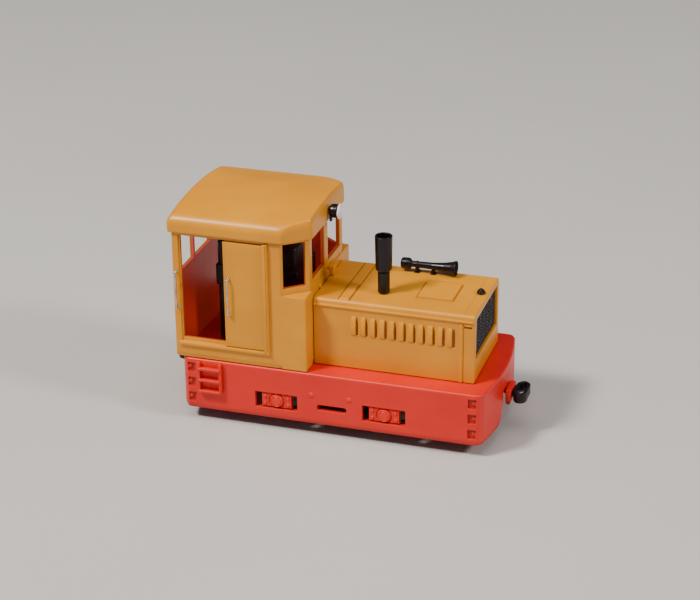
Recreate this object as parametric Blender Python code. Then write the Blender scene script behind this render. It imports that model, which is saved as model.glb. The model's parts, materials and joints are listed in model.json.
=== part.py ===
# Narrow gauge model diesel locomotive for 16.5 mm track, about 1:45.
# Sizes in millimetres until finish() turns them into metres. +X is forward, +Z up.
# The origin is under the middle of the model, on the plane that the wheel flanges stand on.

import math

import bmesh
import bpy
from mathutils import Vector

MM = 0.001
GAP = 0.3  # between pieces that touch

# Running gear
WHEELBASE = 32.0
TREAD_RADIUS = 7.5
FLANGE_RADIUS = 8.5
WHEEL_BACK = 7.15  # half the back-to-back distance
WHEEL_WIDTH = 2.8
FLANGE_WIDTH = 0.8
AXLE_RADIUS = 1.0
BORE_RADIUS = AXLE_RADIUS + GAP
AXLE_Z = FLANGE_RADIUS
MODULE = 0.5
TRAIN_TEETH = 16
REDUCTION_TEETH = 24
PINION_TEETH = 10
GEAR_Y = (1.4, 3.4)

# Frame
FRAME_HALF_LENGTH = 46.6
FRAME_HALF_WIDTH = 20.8
FRAME_BOW = 2.6  # how far the ends bulge
FRAME_TOP = 19.7
FRAME_BOTTOM = 3.9
FRAME_WALL = 1.4
CORNER_RADIUS = 1.6
AXLEBOX_OPENING = (6.3, 7.0, 11.8)  # half width, lowest and highest z
AXLEBOX_Z = 9.4
SLOT_ENDS = (-2.85, 4.15)
SLOT_Z = 9.3
SLOT_RADIUS = 0.85
POCKET_X = 42.0
POCKET_Z = (16.9, 12.2, 7.4)
POCKET_HALF = (1.6, 1.4)
POCKET_DEPTH = 0.6
RIVET_X = (-5.4, 5.9)
RIVET_Z = 13.0
LADDER_X = (-39.5, -32.1)
LADDER_Z = (9.7, 19.3)
STILE_WIDTH = 0.9
TREAD_Z = (17.3, 13.7, 10.2)

# Cab
CAB_REAR = -46.2
CAB_FRONT = -6.7
CAB_HALF_WIDTH = 20.46
CAB_BOTTOM = FRAME_TOP + GAP
LEDGE_Z = 42.6
CAB_TOP = 58.2
UPPER_FRONT = -7.1
CHAMFER_START = -14.0
CHAMFER_HALF_WIDTH = 15.0
CAB_WALL = 1.2
SILL_Z = 45.2
WINDOW_TOP = 57.8
DOORWAY_X = (-43.65, -30.4)
DOORWAY_Z = (26.0, 57.4)
RECESS_X = (-44.2, -18.05)
RECESS_Z = (24.9, 57.6)
RAIL_X = (-44.8, -17.6)
RAIL_Z = (23.9, 24.8)
DOOR_X = (-30.7, -18.35)
DOOR_Z = (25.1, 57.3)
FRONT_WINDOW_Y = (1.6, 12.6)
REAR_WINDOWS_Y = ((-17.6, -7.1), (-6.0, 6.0), (7.1, 17.6))

# Roof
ROOF_REAR = -47.4
ROOF_FRONT = -6.2
ROOF_HALF_WIDTH = 21.3
ROOF_BOTTOM = CAB_TOP + GAP
ROOF_SHOULDER = 60.8
ROOF_CROWN = 65.4
ROOF_ROLL = 2.4  # radius of the rolled edges

# Hood
HOOD_REAR = CAB_FRONT + GAP
HOOD_FRONT = 40.4
HOOD_HALF_WIDTH = 14.2
HOOD_TOP = 40.5
HOOD_WALL = 1.2
GRILLE_HALF_WIDTH = 12.3
GRILLE_Z = (26.3, 38.7)
LOUVRES = 11
LOUVRE_FIRST = 5.3
LOUVRE_STEP = 2.79
LOUVRE_WIDTH = 1.5
LOUVRE_Z = (30.3, 36.1)
BEAD_Z = (38.3, 38.9)
RIB_X = (36.1, 36.9)
STRAP_X = (0.8, 3.5)
HATCH_X = (21.5, 31.7)
HATCH_HALF_WIDTH = 5.4

# Fittings
EXHAUST = (11.7, -5.7)
HORN_Y = 11.0
HORN_Z = 42.85
RADIATOR_CAP = (38.2, 1.3)
HEADLIGHT_Z = 61.4
WIRE_RADIUS = 0.28
WIRE_BEND = 0.35
WIRE_REACH = 0.95

MOTOR_X = 8.0
REDUCTION_Z = AXLE_Z + MODULE * (TRAIN_TEETH + REDUCTION_TEETH) / 2
MOTOR_Z = REDUCTION_Z + MODULE * (REDUCTION_TEETH + PINION_TEETH) / 2

# Couplings and screws
COUPLER_PIVOT_X = 40.0
COUPLER_Z = 11.8
BODY_SCREW_X = 26.0
KEEPER_SCREW = (11.5, -3.0)  # x and y
KEEPER_Z = (2.5, 3.7)


# ---------- materials ----------

def paint(name, colour, roughness, metallic=0.0):
    material = bpy.data.materials.new(name)
    material.use_nodes = True
    shader = material.node_tree.nodes["Principled BSDF"]
    shader.inputs["Base Color"].default_value = (*colour, 1.0)
    shader.inputs["Roughness"].default_value = roughness
    shader.inputs["Metallic"].default_value = metallic
    return material


# ---------- shapes ----------

def outward(bm):
    """Turns the faces of one closed body outwards."""
    bmesh.ops.recalc_face_normals(bm, faces=bm.faces[:])
    if bm.calc_volume(signed=True) < 0:
        bmesh.ops.reverse_faces(bm, faces=bm.faces[:])
    return bm


def box(low, high, bevel=0.0):
    bm = bmesh.new()
    bmesh.ops.create_cube(bm, size=1.0)
    low, high = Vector(low), Vector(high)
    for vert in bm.verts:
        vert.co = [low[i] + (vert.co[i] + 0.5) * (high[i] - low[i]) for i in range(3)]
    if bevel:
        bmesh.ops.bevel(bm, geom=bm.edges[:], offset=bevel, segments=1, affect="EDGES")
    return outward(bm)


def loft(rings):
    """Skin between rings of equal point count, closed at both ends."""
    bm = bmesh.new()
    loops = [[bm.verts.new(point) for point in ring] for ring in rings]
    count = len(loops[0])
    for lower, upper in zip(loops, loops[1:]):
        for i in range(count):
            j = (i + 1) % count
            bm.faces.new((lower[i], lower[j], upper[j], upper[i]))
    bm.faces.new(loops[0])
    bm.faces.new(loops[-1])
    return outward(bm)


def prism(outline, low, high, axis="Z"):
    """An outline carried along an axis. The outline's two numbers are the other two axes in order."""
    place = {
        "X": lambda p, t: (t, p[0], p[1]),
        "Y": lambda p, t: (p[0], t, p[1]),
        "Z": lambda p, t: (p[0], p[1], t),
    }[axis]
    return loft([[place(p, t) for p in outline] for t in (low, high)])


def turned(profile, centre, axis="Z", segments=24):
    """A profile of (distance along the axis, radius) pairs spun about the axis through centre."""
    bm = bmesh.new()
    along = Vector({"X": (1, 0, 0), "Y": (0, 1, 0), "Z": (0, 0, 1)}[axis])
    out = Vector({"X": (0, 0, 1), "Y": (0, 0, 1), "Z": (1, 0, 0)}[axis])
    centre = Vector(centre)
    verts = [bm.verts.new(centre + along * t + out * r) for t, r in profile]
    edges = [bm.edges.new(pair) for pair in zip(verts, verts[1:])]
    if profile[0][1] and profile[-1][1]:
        edges.append(bm.edges.new((verts[-1], verts[0])))
    bmesh.ops.spin(
        bm, geom=verts + edges, cent=centre, axis=along, angle=math.tau, steps=segments, use_merge=True
    )
    bmesh.ops.remove_doubles(bm, verts=bm.verts[:], dist=0.0005)
    return outward(bm)


def rod(low, high, centre, radius, axis="Z", segments=16):
    return turned([(low, 0), (low, radius), (high, radius), (high, 0)], centre, axis, segments)


def gathered(*shapes):
    """Several separate shapes in one mesh, for use as one cutter or one addition."""
    bm = bmesh.new()
    for shape in shapes:
        mesh = bpy.data.meshes.new("part")
        shape.to_mesh(mesh)
        shape.free()
        bm.from_mesh(mesh)
        bpy.data.meshes.remove(mesh)
    return bm


def mirrored(bm):
    """The same shape on the other side of the XZ plane."""
    for vert in bm.verts:
        vert.co.y = -vert.co.y
    bmesh.ops.reverse_faces(bm, faces=bm.faces[:])
    return bm


def on_both_sides(make):
    return [make(), mirrored(make())]


def at_both_ends(make):
    """The shape and its copy turned half round about Z."""
    turned_copy = make()
    for vert in turned_copy.verts:
        vert.co.x, vert.co.y = -vert.co.x, -vert.co.y
    return [make(), turned_copy]


def finish(bm, name, material=None, pivot=None, origin=(0, 0, 0)):
    """Turns a shape in millimetres into an object in metres, placed at origin under pivot."""
    origin = Vector(origin)
    for vert in bm.verts:
        vert.co = (vert.co - origin) * MM
    mesh = bpy.data.meshes.new(name)
    bm.to_mesh(mesh)
    bm.free()
    mesh.shade_smooth()
    mesh.set_sharp_from_angle(angle=math.radians(32))
    piece = bpy.data.objects.new(name, mesh)
    bpy.context.scene.collection.objects.link(piece)
    piece.location = origin * MM
    if material:
        mesh.materials.append(material)
    if pivot:
        piece.parent = pivot
        piece.location = origin * MM - pivot.location
    return piece


def joint_empty(name, place):
    empty = bpy.data.objects.new(name, None)
    bpy.context.scene.collection.objects.link(empty)
    empty.empty_display_size = 3 * MM
    empty.location = Vector(place) * MM
    return empty


def combine(piece, tool_shape, operation):
    origin = piece.location + (piece.parent.location if piece.parent else Vector())
    tool = finish(tool_shape, f"{piece.name}_{operation.lower()}_tool", None, piece.parent, origin / MM)
    tool.hide_render = True
    tool.display_type = "WIRE"
    modifier = piece.modifiers.new(operation.title(), "BOOLEAN")
    modifier.operation = operation
    modifier.solver = "EXACT"
    modifier.object = tool


def cut(piece, *shapes):
    combine(piece, gathered(*shapes), "DIFFERENCE")


def add(piece, *shapes):
    combine(piece, gathered(*shapes), "UNION")


# ---------- outlines ----------

def arc(centre, radius, start, end, steps):
    angles = [math.radians(start + (end - start) * i / steps) for i in range(steps + 1)]
    return [(centre[0] + radius * math.cos(a), centre[1] + radius * math.sin(a)) for a in angles]


def bowed_outline(inset=0.0):
    """The frame's plan: straight sides, gently bowed ends, small round corners."""
    half_length = FRAME_HALF_LENGTH - inset
    half_width = FRAME_HALF_WIDTH - inset
    radius = max(CORNER_RADIUS - inset, 0.4)
    slope = math.atan(2 * FRAME_BOW / FRAME_HALF_WIDTH)
    edge = half_width - radius + radius * math.sin(slope)
    centre_x = half_length - FRAME_BOW * (edge / half_width) ** 2 - radius * math.cos(slope)
    corner = arc((centre_x, half_width - radius), radius, math.degrees(slope), 90, 4)
    steps = 8
    ends = [edge * (2 * i / steps - 1) for i in range(1, steps)]
    bow = [(half_length - FRAME_BOW * (y / half_width) ** 2, y) for y in ends]
    front = [(x, -y) for x, y in reversed(corner)] + bow + corner
    return front + [(-x, -y) for x, y in front]


def chamfered_outline(inset=0.0):
    """The upper cab's plan: a box whose two front corners are cut off."""
    rear, half_width = CAB_REAR + inset, CAB_HALF_WIDTH - inset
    start = CHAMFER_START - inset * 0.6
    front, corner = UPPER_FRONT - inset, CHAMFER_HALF_WIDTH - inset * 0.5
    return [(rear, -half_width), (start, -half_width), (front, -corner),
            (front, corner), (start, half_width), (rear, half_width)]


def roof_columns(inset):
    """The roof's plan as (y, rear x, front x) strips, its rear corners round and its front ones cut off."""
    half = ROOF_HALF_WIDTH - inset
    rear, front = ROOF_REAR + inset, ROOF_FRONT - inset
    start, corner = CHAMFER_START + 0.5 - inset * 0.6, CHAMFER_HALF_WIDTH - inset * 0.5
    radius = max(1.4 - inset, 0.3)
    outer = arc((rear + radius, half - radius), radius, 90, 180, 3)
    columns = [(y, x, front + (start - front) * (y - corner) / (half - corner)) for x, y in outer]
    columns += [(corner * part, rear, front) for part in (1.0, 0.7, 0.35)]
    return columns + [(0, rear, front)] + [(-y, back, ahead) for y, back, ahead in reversed(columns)]


def roof_ring(inset, height):
    """The plan's outline at one inset; height gives z from y."""
    columns = roof_columns(inset)
    return ([(ahead, y, height(y)) for y, _, ahead in columns]
            + [(back, y, height(y)) for y, back, _ in reversed(columns)])


def gear_outline(teeth, phase=0.0):
    """Slim straight-flanked teeth: root, root, tip, tip for each tooth."""
    pitch = MODULE * teeth / 2
    root, tip = pitch - 1.15 * MODULE, pitch + 0.8 * MODULE
    step = math.tau / teeth
    points = []
    for tooth in range(teeth):
        middle = phase + tooth * step
        for radius, part in ((root, -0.26), (tip, -0.1), (tip, 0.1), (root, 0.26)):
            angle = middle + part * step
            points.append((radius * math.cos(angle), radius * math.sin(angle)))
    return points


# ---------- frame ----------

def make_frame(red):
    rounding = ((FRAME_BOTTOM, 0.0), (FRAME_TOP - 0.7, 0.0), (FRAME_TOP - 0.22, 0.2), (FRAME_TOP, 0.7))
    frame = finish(loft([[(x, y, z) for x, y in bowed_outline(inset)] for z, inset in rounding]),
                   "frame_shell", red)
    inside = [(x, y) for x, y in bowed_outline(FRAME_WALL)]
    cut(frame, prism(inside, FRAME_BOTTOM - 2, FRAME_TOP - FRAME_WALL))

    def boss():
        return rod(16.0, FRAME_TOP - 0.5, (BODY_SCREW_X, 0, 0), 2.4)

    add(frame, *at_both_ends(boss))

    def side_cuts():
        """Axlebox openings, the long slot and the corner pockets of one side."""
        wall = (-FRAME_HALF_WIDTH - 1, -FRAME_HALF_WIDTH + FRAME_WALL + 1)
        half, low, high = AXLEBOX_OPENING
        shapes = [box((x - half, wall[0], low), (x + half, wall[1], high), 0.5)
                  for x in (-WHEELBASE / 2, WHEELBASE / 2)]
        slot = (arc((SLOT_ENDS[1], SLOT_Z), SLOT_RADIUS, -90, 90, 5)
                + arc((SLOT_ENDS[0], SLOT_Z), SLOT_RADIUS, 90, 270, 5))
        shapes.append(prism(slot, wall[0], wall[1], "Y"))
        wide, tall = POCKET_HALF
        for x in (-POCKET_X, POCKET_X):
            for z in POCKET_Z:
                shapes.append(box((x - wide, wall[0], z - tall),
                                  (x + wide, -FRAME_HALF_WIDTH + POCKET_DEPTH, z + tall)))
        return gathered(*shapes)

    def end_cut():
        """The notch and slot that the coupling comes out of."""
        notch = [(-6.5, FRAME_BOTTOM - 1), (6.5, FRAME_BOTTOM - 1), (6.0, 6.0), (4.2, 8.6),
                 (3.9, 13.4), (-3.9, 13.4), (-4.2, 8.6), (-6.0, 6.0)]
        return prism(notch, FRAME_HALF_LENGTH - FRAME_WALL - 0.8, FRAME_HALF_LENGTH + 1, "X")

    motor_opening = box((-4.0, -11.0, FRAME_TOP - 3), (16.6, 11.0, FRAME_TOP + 1))
    screw_bores = at_both_ends(lambda: rod(14.0, FRAME_TOP - 1.0, (BODY_SCREW_X, 0, 0), 1.2, segments=12))
    cut(frame, *on_both_sides(side_cuts), *at_both_ends(end_cut), motor_opening, *screw_bores)

    def rivets():
        y = -FRAME_HALF_WIDTH
        dome = [(-0.35, 0), (-0.35, 0.35), (-0.1, 0.65), (0.4, 0.7), (0.4, 0)]
        stud = [(0.15, 0), (0.15, 0.35), (0.35, 0.6), (1.0, 0.6), (1.0, 0)]
        shapes = [turned(dome, (x, y, RIVET_Z), "Y", 10) for x in RIVET_X]
        shapes += [turned(stud, (x, y, z), "Y", 8) for x in (-POCKET_X, POCKET_X) for z in POCKET_Z]
        return gathered(*shapes)

    add(frame, *on_both_sides(rivets))


def make_axleboxes(red):
    for end, x in (("rear", -WHEELBASE / 2), ("front", WHEELBASE / 2)):
        for side, sign in (("right", -1), ("left", 1)):
            def place(shape):
                return shape if sign < 0 else mirrored(shape)

            face = -FRAME_HALF_WIDTH + 0.5
            low, high = AXLEBOX_OPENING[1] + GAP, AXLEBOX_OPENING[2] - GAP
            body = box((x - 4.5, face, low), (x + 4.5, face + 1.4, high), 0.2)
            cover = turned([(-0.55, 0), (-0.55, 1.6), (-0.3, 2.0), (0.4, 2.0), (0.4, 0)],
                           (x, face, AXLEBOX_Z), "Y", 16)
            bolts = [turned([(-0.4, 0), (-0.4, 0.35), (-0.2, 0.55), (0.3, 0.55), (0.3, 0)],
                            (x + dx, face, AXLEBOX_Z + dz), "Y", 8)
                     for dx in (-3.44, 3.44) for dz in (-1.1, 1.1)]
            bridge = box((x - 4.3, face + 1.2, 6.2), (x + 4.3, face + 2.4, 12.6))
            axlebox = finish(place(body), f"axlebox_{end}_{side}", red)
            add(axlebox, place(cover), *[place(bolt) for bolt in bolts])
            add(axlebox, place(bridge))


def make_ladders(red):
    for side, sign in (("right", -1), ("left", 1)):
        def place(shape):
            return shape if sign < 0 else mirrored(shape)

        near, far = -FRAME_HALF_WIDTH - GAP - 1.0, -FRAME_HALF_WIDTH - GAP

        def stile(x):
            return place(box((x, near, LADDER_Z[0]), (x + STILE_WIDTH, far, LADDER_Z[1]), 0.1))

        def tread(z):
            return place(box((LADDER_X[0] + 0.5, near - 0.5, z - 0.4),
                             (LADDER_X[1] - 0.5, far - 0.1, z + 0.4), 0.1))

        ladder = finish(stile(LADDER_X[0]), f"ladder_{side}", red)
        add(ladder, stile(LADDER_X[1] - STILE_WIDTH))
        add(ladder, *[tread(z) for z in TREAD_Z])


# ---------- cab, roof and hood ----------

def make_cab(yellow):
    rear, front, half = CAB_REAR, CAB_FRONT, CAB_HALF_WIDTH
    cab = finish(box((rear, -half, CAB_BOTTOM), (front, half, LEDGE_Z)), "cab_body", yellow)
    add(cab, prism(chamfered_outline(), LEDGE_Z - 3.0, CAB_TOP))
    cut(cab, box((rear + CAB_WALL, -half + CAB_WALL, CAB_BOTTOM - 2),
                 (front - CAB_WALL, half - CAB_WALL, LEDGE_Z - CAB_WALL)))
    cut(cab, prism(chamfered_outline(CAB_WALL), LEDGE_Z - 8.0, CAB_TOP + 2))

    def guide():
        """Bottom rail and front channel that a sliding door runs in."""
        start, end = RAIL_X
        low, high = RAIL_Z[1] - 0.2, CAB_TOP - 0.3
        rail = box((start, -half - 0.8, RAIL_Z[0]), (end, -half + 0.3, RAIL_Z[1]), 0.12)
        web = box((end - 0.45, -half - 1.05, low), (end, -half + 0.3, high))
        lip = box((end - 1.3, -half - 1.05, low), (end - 0.2, -half - 0.75, high))
        return rail, web, lip

    for i in range(3):
        add(cab, *on_both_sides(lambda: guide()[i]))

    def openings():
        """Doorway, door recess and corner window of one side."""
        doorway = box((DOORWAY_X[0], -half - 0.45, DOORWAY_Z[0]), (DOORWAY_X[1], -half + 2.5, DOORWAY_Z[1]))
        along = Vector((UPPER_FRONT - CHAMFER_START, half - CHAMFER_HALF_WIDTH, 0))
        length = along.length
        along.normalize()
        across = Vector((along.y, -along.x, 0))
        start = Vector((CHAMFER_START, -half, 0))
        corners = [start + along * a + across * b
                   for a, b in ((0.95, -2.4), (length - 1.3, -2.4), (length - 1.3, 1.5), (0.95, 1.5))]
        window = prism([(p.x, p.y) for p in corners], SILL_Z - 0.6, WINDOW_TOP)
        return gathered(doorway, window)

    def recess():
        return box((RECESS_X[0], -half - 0.7, RECESS_Z[0]), (RECESS_X[1], -half + 0.5, RECESS_Z[1]))

    def front_window():
        inner, outer = FRONT_WINDOW_Y
        return box((UPPER_FRONT - 3, -outer, SILL_Z), (UPPER_FRONT + 2, -inner, WINDOW_TOP))

    rear_windows = [box((rear - 2, right, SILL_Z), (rear + 3, left, WINDOW_TOP))
                    for right, left in REAR_WINDOWS_Y]
    cut(cab, *on_both_sides(openings), *on_both_sides(front_window), *rear_windows)
    cut(cab, *on_both_sides(recess))


def make_roof(yellow):
    def arch(y):
        return ROOF_CROWN - (ROOF_CROWN - ROOF_SHOULDER - ROOF_ROLL) * (abs(y) / ROOF_HALF_WIDTH) ** 2.2

    rings = [roof_ring(2.1, lambda y: ROOF_BOTTOM), roof_ring(0.2, lambda y: ROOF_BOTTOM),
             roof_ring(0.0, lambda y: ROOF_BOTTOM + 0.2)]
    for turn in (0, 30, 60, 90):
        bend = math.radians(turn)
        drop = ROOF_ROLL * (1 - math.sin(bend))
        rings.append(roof_ring(ROOF_ROLL * (1 - math.cos(bend)), lambda y: arch(y) - drop))
    bm = loft(rings)
    # The end caps are split into strips, so that the top follows the arch.
    bm.faces.ensure_lookup_table()
    count = len(rings[0])
    caps = [face for face in bm.faces if len(face.verts) == count]
    loops = [[loop.vert for loop in face.loops] for face in caps]
    bmesh.ops.delete(bm, geom=caps, context="FACES_ONLY")
    for loop in loops:
        for i in range(count // 2 - 1):
            bm.faces.new((loop[i], loop[i + 1], loop[count - 2 - i], loop[count - 1 - i]))
    roof = finish(outward(bm), "cab_roof", yellow)
    cavity = [(x, y) for x, y, _ in roof_ring(2.2, lambda y: 0.0)]
    cut(roof, prism(cavity, ROOF_BOTTOM - 1, ROOF_SHOULDER + 0.6))


def make_hood(yellow):
    half = HOOD_HALF_WIDTH
    corner = 1.2
    section = ([(-half, FRAME_TOP + GAP), (half, FRAME_TOP + GAP)]
               + arc((half - corner, HOOD_TOP - corner), corner, 0, 90, 3)
               + arc((-half + corner, HOOD_TOP - corner), corner, 90, 180, 3))
    hood = finish(prism(section, HOOD_REAR, HOOD_FRONT, "X"), "hood_body", yellow)
    cut(hood, box((HOOD_REAR + HOOD_WALL, -half + HOOD_WALL, FRAME_TOP - 2),
                  (HOOD_FRONT - 2.0, half - HOOD_WALL, HOOD_TOP - HOOD_WALL)))
    cut(hood, box((HOOD_FRONT - 3, -GRILLE_HALF_WIDTH, GRILLE_Z[0]),
                  (HOOD_FRONT + 1, GRILLE_HALF_WIDTH, GRILLE_Z[1])))

    def bead():
        return box((HOOD_REAR, -half - 0.45, BEAD_Z[0]), (HOOD_FRONT - 0.4, -half + 0.4, BEAD_Z[1]), 0.12)

    def rib_and_louvres():
        rib = box((RIB_X[0], -half - 0.35, FRAME_TOP + GAP), (RIB_X[1], -half + 0.4, BEAD_Z[0] - 0.3), 0.1)
        reach = LOUVRE_WIDTH / 2
        louvres = [box((x - reach, -half - 0.6, LOUVRE_Z[0]), (x + reach, -half + 0.4, LOUVRE_Z[1]))
                   for x in (LOUVRE_FIRST + i * LOUVRE_STEP for i in range(LOUVRES))]
        return gathered(rib, *louvres)

    strap = box((STRAP_X[0], -half + 0.8, HOOD_TOP - 0.5), (STRAP_X[1], half - 0.8, HOOD_TOP + 0.25), 0.1)
    hatch = box((HATCH_X[0], -HATCH_HALF_WIDTH, HOOD_TOP - 0.5),
                (HATCH_X[1], HATCH_HALF_WIDTH, HOOD_TOP + 0.3), 0.15)
    add(hood, *on_both_sides(bead), strap, hatch)
    add(hood, *on_both_sides(rib_and_louvres))


def make_grille(black):
    y, (low, high) = GRILLE_HALF_WIDTH - GAP, GRILLE_Z
    panel = box((HOOD_FRONT - 1.5, -y, low + GAP), (HOOD_FRONT - 0.6, y, high - GAP))
    finish(panel, "radiator_grille", black)


def make_doors(yellow, steel):
    half = CAB_HALF_WIDTH
    for side, sign in (("right", -1), ("left", 1)):
        def place(shape):
            return shape if sign < 0 else mirrored(shape)

        middle = ((DOOR_X[0] + DOOR_X[1]) / 2, sign * half, DOOR_Z[0])
        track = joint_empty(f"door_{side}_track", middle)
        panel = box((DOOR_X[0], -half - 0.45, DOOR_Z[0]), (DOOR_X[1], -half + 0.2, DOOR_Z[1]), 0.1)
        finish(place(panel), f"door_{side}", yellow, track, middle)
        wire_loop(f"door_handle_{side}", steel, -29.3, sign * (half + 0.45 + GAP), sign, 35.4, 46.3, track)
        wire_loop(f"pillar_handrail_{side}", steel, -45.0, sign * (half + GAP), sign, 35.6, 46.7)


def wire_loop(name, steel, x, foot_y, side, low, high, pivot=None):
    """A bent wire handle on one side, -1 or 1: out from the wall, up and back."""
    bend, outer = WIRE_BEND, foot_y + side * WIRE_REACH
    points = [(x, foot_y, low)]
    for centre_z, angles in ((low + bend, (-90, -60, -30, 0)), (high - bend, (0, 30, 60, 90))):
        for angle in (math.radians(a) for a in angles):
            points.append((x, outer - side * bend * (1 - math.cos(angle)), centre_z + bend * math.sin(angle)))
    points.append((x, foot_y, high))
    curve = bpy.data.curves.new(name, "CURVE")
    curve.dimensions = "3D"
    curve.bevel_depth = WIRE_RADIUS * MM
    curve.bevel_resolution = 2
    curve.use_fill_caps = True
    spline = curve.splines.new("POLY")
    spline.points.add(len(points) - 1)
    for point, place in zip(spline.points, points):
        point.co = (*(Vector(place) * MM), 1.0)
    curve.materials.append(steel)
    handle = bpy.data.objects.new(name, curve)
    bpy.context.scene.collection.objects.link(handle)
    if pivot:
        handle.parent = pivot
        handle.location = -pivot.location


# ---------- fittings ----------

def make_fittings(black, lens_white):
    exhaust = (*EXHAUST, 0)
    foot = HOOD_TOP + GAP
    finish(turned([(foot, 0), (foot, 1.72), (47.1, 1.72), (47.1, 0)], exhaust), "exhaust_pipe", black)
    finish(turned([(47.4, 0), (47.4, 1.9), (47.9, 2.37), (57.9, 2.52), (58.05, 2.4), (58.05, 2.0), (53.2, 1.8),
                   (53.2, 0)], exhaust), "silencer", black)

    horn = finish(turned([(12.1, 0), (12.1, 1.5), (12.3, 1.7), (14.8, 1.7), (15.1, 1.3), (15.4, 0.9),
                          (21.5, 1.05), (24.8, 1.4), (27.2, 1.95), (28.5, 2.35), (28.5, 2.0), (26.6, 1.45),
                          (25.0, 1.0), (25.0, 0)], (0, HORN_Y, HORN_Z), "X", 20), "air_horn", black)
    add(horn, *[box((x - 0.55, HORN_Y - 0.6, foot), (x + 0.55, HORN_Y + 0.6, HORN_Z - 0.2), 0.1)
                for x in (16.9, 21.7)])

    finish(turned([(foot, 0), (foot, 1.25), (foot + 0.35, 1.25), (foot + 0.45, 0.95), (foot + 0.95, 0.8),
                   (foot + 1.25, 0.4), (foot + 1.3, 0)], (*RADIATOR_CAP, 0), segments=14),
           "radiator_cap", black)

    light = (0, 0, HEADLIGHT_Z)
    back = ROOF_FRONT + GAP
    housing = finish(turned([(back, 0), (back, 1.5), (back + 0.6, 1.95), (-3.4, 2.05), (-3.4, 0)],
                            light, "X", 20), "headlight_housing", black)
    add(housing, box((back, -0.5, 58.2), (back + 0.7, 0.5, 60.2)))
    finish(turned([(-3.1, 0), (-3.1, 2.25), (-2.8, 2.25), (-2.5, 1.9), (-2.25, 1.1), (-2.15, 0)],
                  light, "X", 20), "headlight_lens", lens_white)


def make_interior(black, lead, green):
    cover = finish(box((-37.5, -8.0, CAB_BOTTOM), (-13.5, 8.0, 52.0), 0.8), "interior_cover", black)
    add(cover, box((-37.9, -8.4, 38.0), (-13.1, 8.4, 44.5), 0.3))
    cut(cover, box((-36.0, -6.8, CAB_BOTTOM - 1), (-15.0, 6.8, 50.0)))
    finish(box((-35.6, -6.4, CAB_BOTTOM), (-15.4, 6.4, 40.0), 0.3), "cab_weight", lead)
    finish(box((17.6, -11.5, CAB_BOTTOM), (38.0, 11.5, 35.6), 0.3), "hood_weight", lead)
    finish(box((18.6, -10.5, 35.9), (36.8, 10.5, 36.9)), "circuit_board", green)


# ---------- couplings ----------

def make_couplings(red, black, brass):
    for end, sign in (("front", 1), ("rear", -1)):
        def place(shape):
            if sign < 0:
                for vert in shape.verts:
                    vert.co.x, vert.co.y = -vert.co.x, -vert.co.y
            return shape

        face = FRAME_HALF_LENGTH + GAP
        block = box((face, -3.3, 9.9), (face + 1.7, 3.3, 13.5), 0.15)
        pocket = finish(place(block), f"coupler_pocket_{end}", red)
        cut(pocket, place(box((face - 1, -2.5, COUPLER_Z - 0.8), (face + 3, 2.5, COUPLER_Z + 0.8))))

        pivot = joint_empty(f"coupler_{end}_pivot", (sign * COUPLER_PIVOT_X, 0, COUPLER_Z))
        eye = (turned([(-0.45, 2.2), (0.45, 2.2), (0.45, 1.1), (-0.45, 1.1)],
                      (COUPLER_PIVOT_X, 0, COUPLER_Z), segments=16))
        coupler = finish(place(eye), f"coupler_{end}", black, pivot, (sign * COUPLER_PIVOT_X, 0, COUPLER_Z))
        shank = box((COUPLER_PIVOT_X + 1.6, -1.1, COUPLER_Z - 0.4), (49.6, 1.1, COUPLER_Z + 0.4))
        bow = [(49.0, -2.0), (50.0, -4.4), (52.0, -4.4), (52.9, -3.6), (52.9, 3.6), (52.0, 4.4), (50.0, 4.4),
               (49.0, 2.0), (49.0, 0.5), (50.0, 0.5), (50.6, 3.5), (51.9, 3.5), (52.1, 3.2), (52.1, -3.2),
               (51.9, -3.5), (50.6, -3.5), (50.0, -0.5), (49.0, -0.5)]
        add(coupler, place(shank))
        add(coupler, place(prism(bow, COUPLER_Z - 1.5, COUPLER_Z + 1.5)))

        pin = turned([(8.6, 0), (8.6, 1.6), (9.2, 1.6), (9.2, 0.75), (18.0, 0.75), (18.0, 0)],
                     (COUPLER_PIVOT_X, 0, 0), segments=12)
        finish(place(pin), f"coupler_pin_{end}", brass)


# ---------- mechanism ----------

def gear(name, material, x, z, teeth, phase, pivot, stub=None, bore=False):
    outline = [(x + a, z + b) for a, b in gear_outline(teeth, phase)]
    wheel = finish(prism(outline, GEAR_Y[0], GEAR_Y[1], "Y"), name, material, pivot, (x, 0, z))
    if stub:
        add(wheel, rod(stub[0], stub[1], (x, 0, z), stub[2], "Y"))
    if bore:
        cut(wheel, rod(GEAR_Y[0] - 1, GEAR_Y[1] + 1, (x, 0, z), BORE_RADIUS, "Y"))


def make_wheelsets(steel, plastic):
    for end, x in (("rear", -WHEELBASE / 2), ("front", WHEELBASE / 2)):
        pivot = joint_empty(f"{end}_axle_line", (x, 0, AXLE_Z))
        centre = (x, 0, AXLE_Z)
        reach = WHEEL_BACK + WHEEL_WIDTH
        finish(rod(-reach - 0.3, reach + 0.3, centre, AXLE_RADIUS, "Y"), f"axle_{end}", steel, pivot, centre)
        for side, sign in (("right", -1), ("left", 1)):
            back = WHEEL_BACK
            flange = back + FLANGE_WIDTH
            profile = [(back, BORE_RADIUS), (back, FLANGE_RADIUS - 0.3), (back + 0.35, FLANGE_RADIUS),
                       (flange, TREAD_RADIUS + 0.15), (reach, TREAD_RADIUS), (reach, 6.2), (reach - 0.8, 5.9),
                       (reach - 0.8, BORE_RADIUS)]
            finish(turned([(sign * t, r) for t, r in profile], centre, "Y", 28),
                   f"wheel_{end}_{side}", steel, pivot, centre)
        gear(f"axle_gear_{end}", plastic, x, AXLE_Z, TRAIN_TEETH, 0.0, pivot, bore=True)


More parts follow.
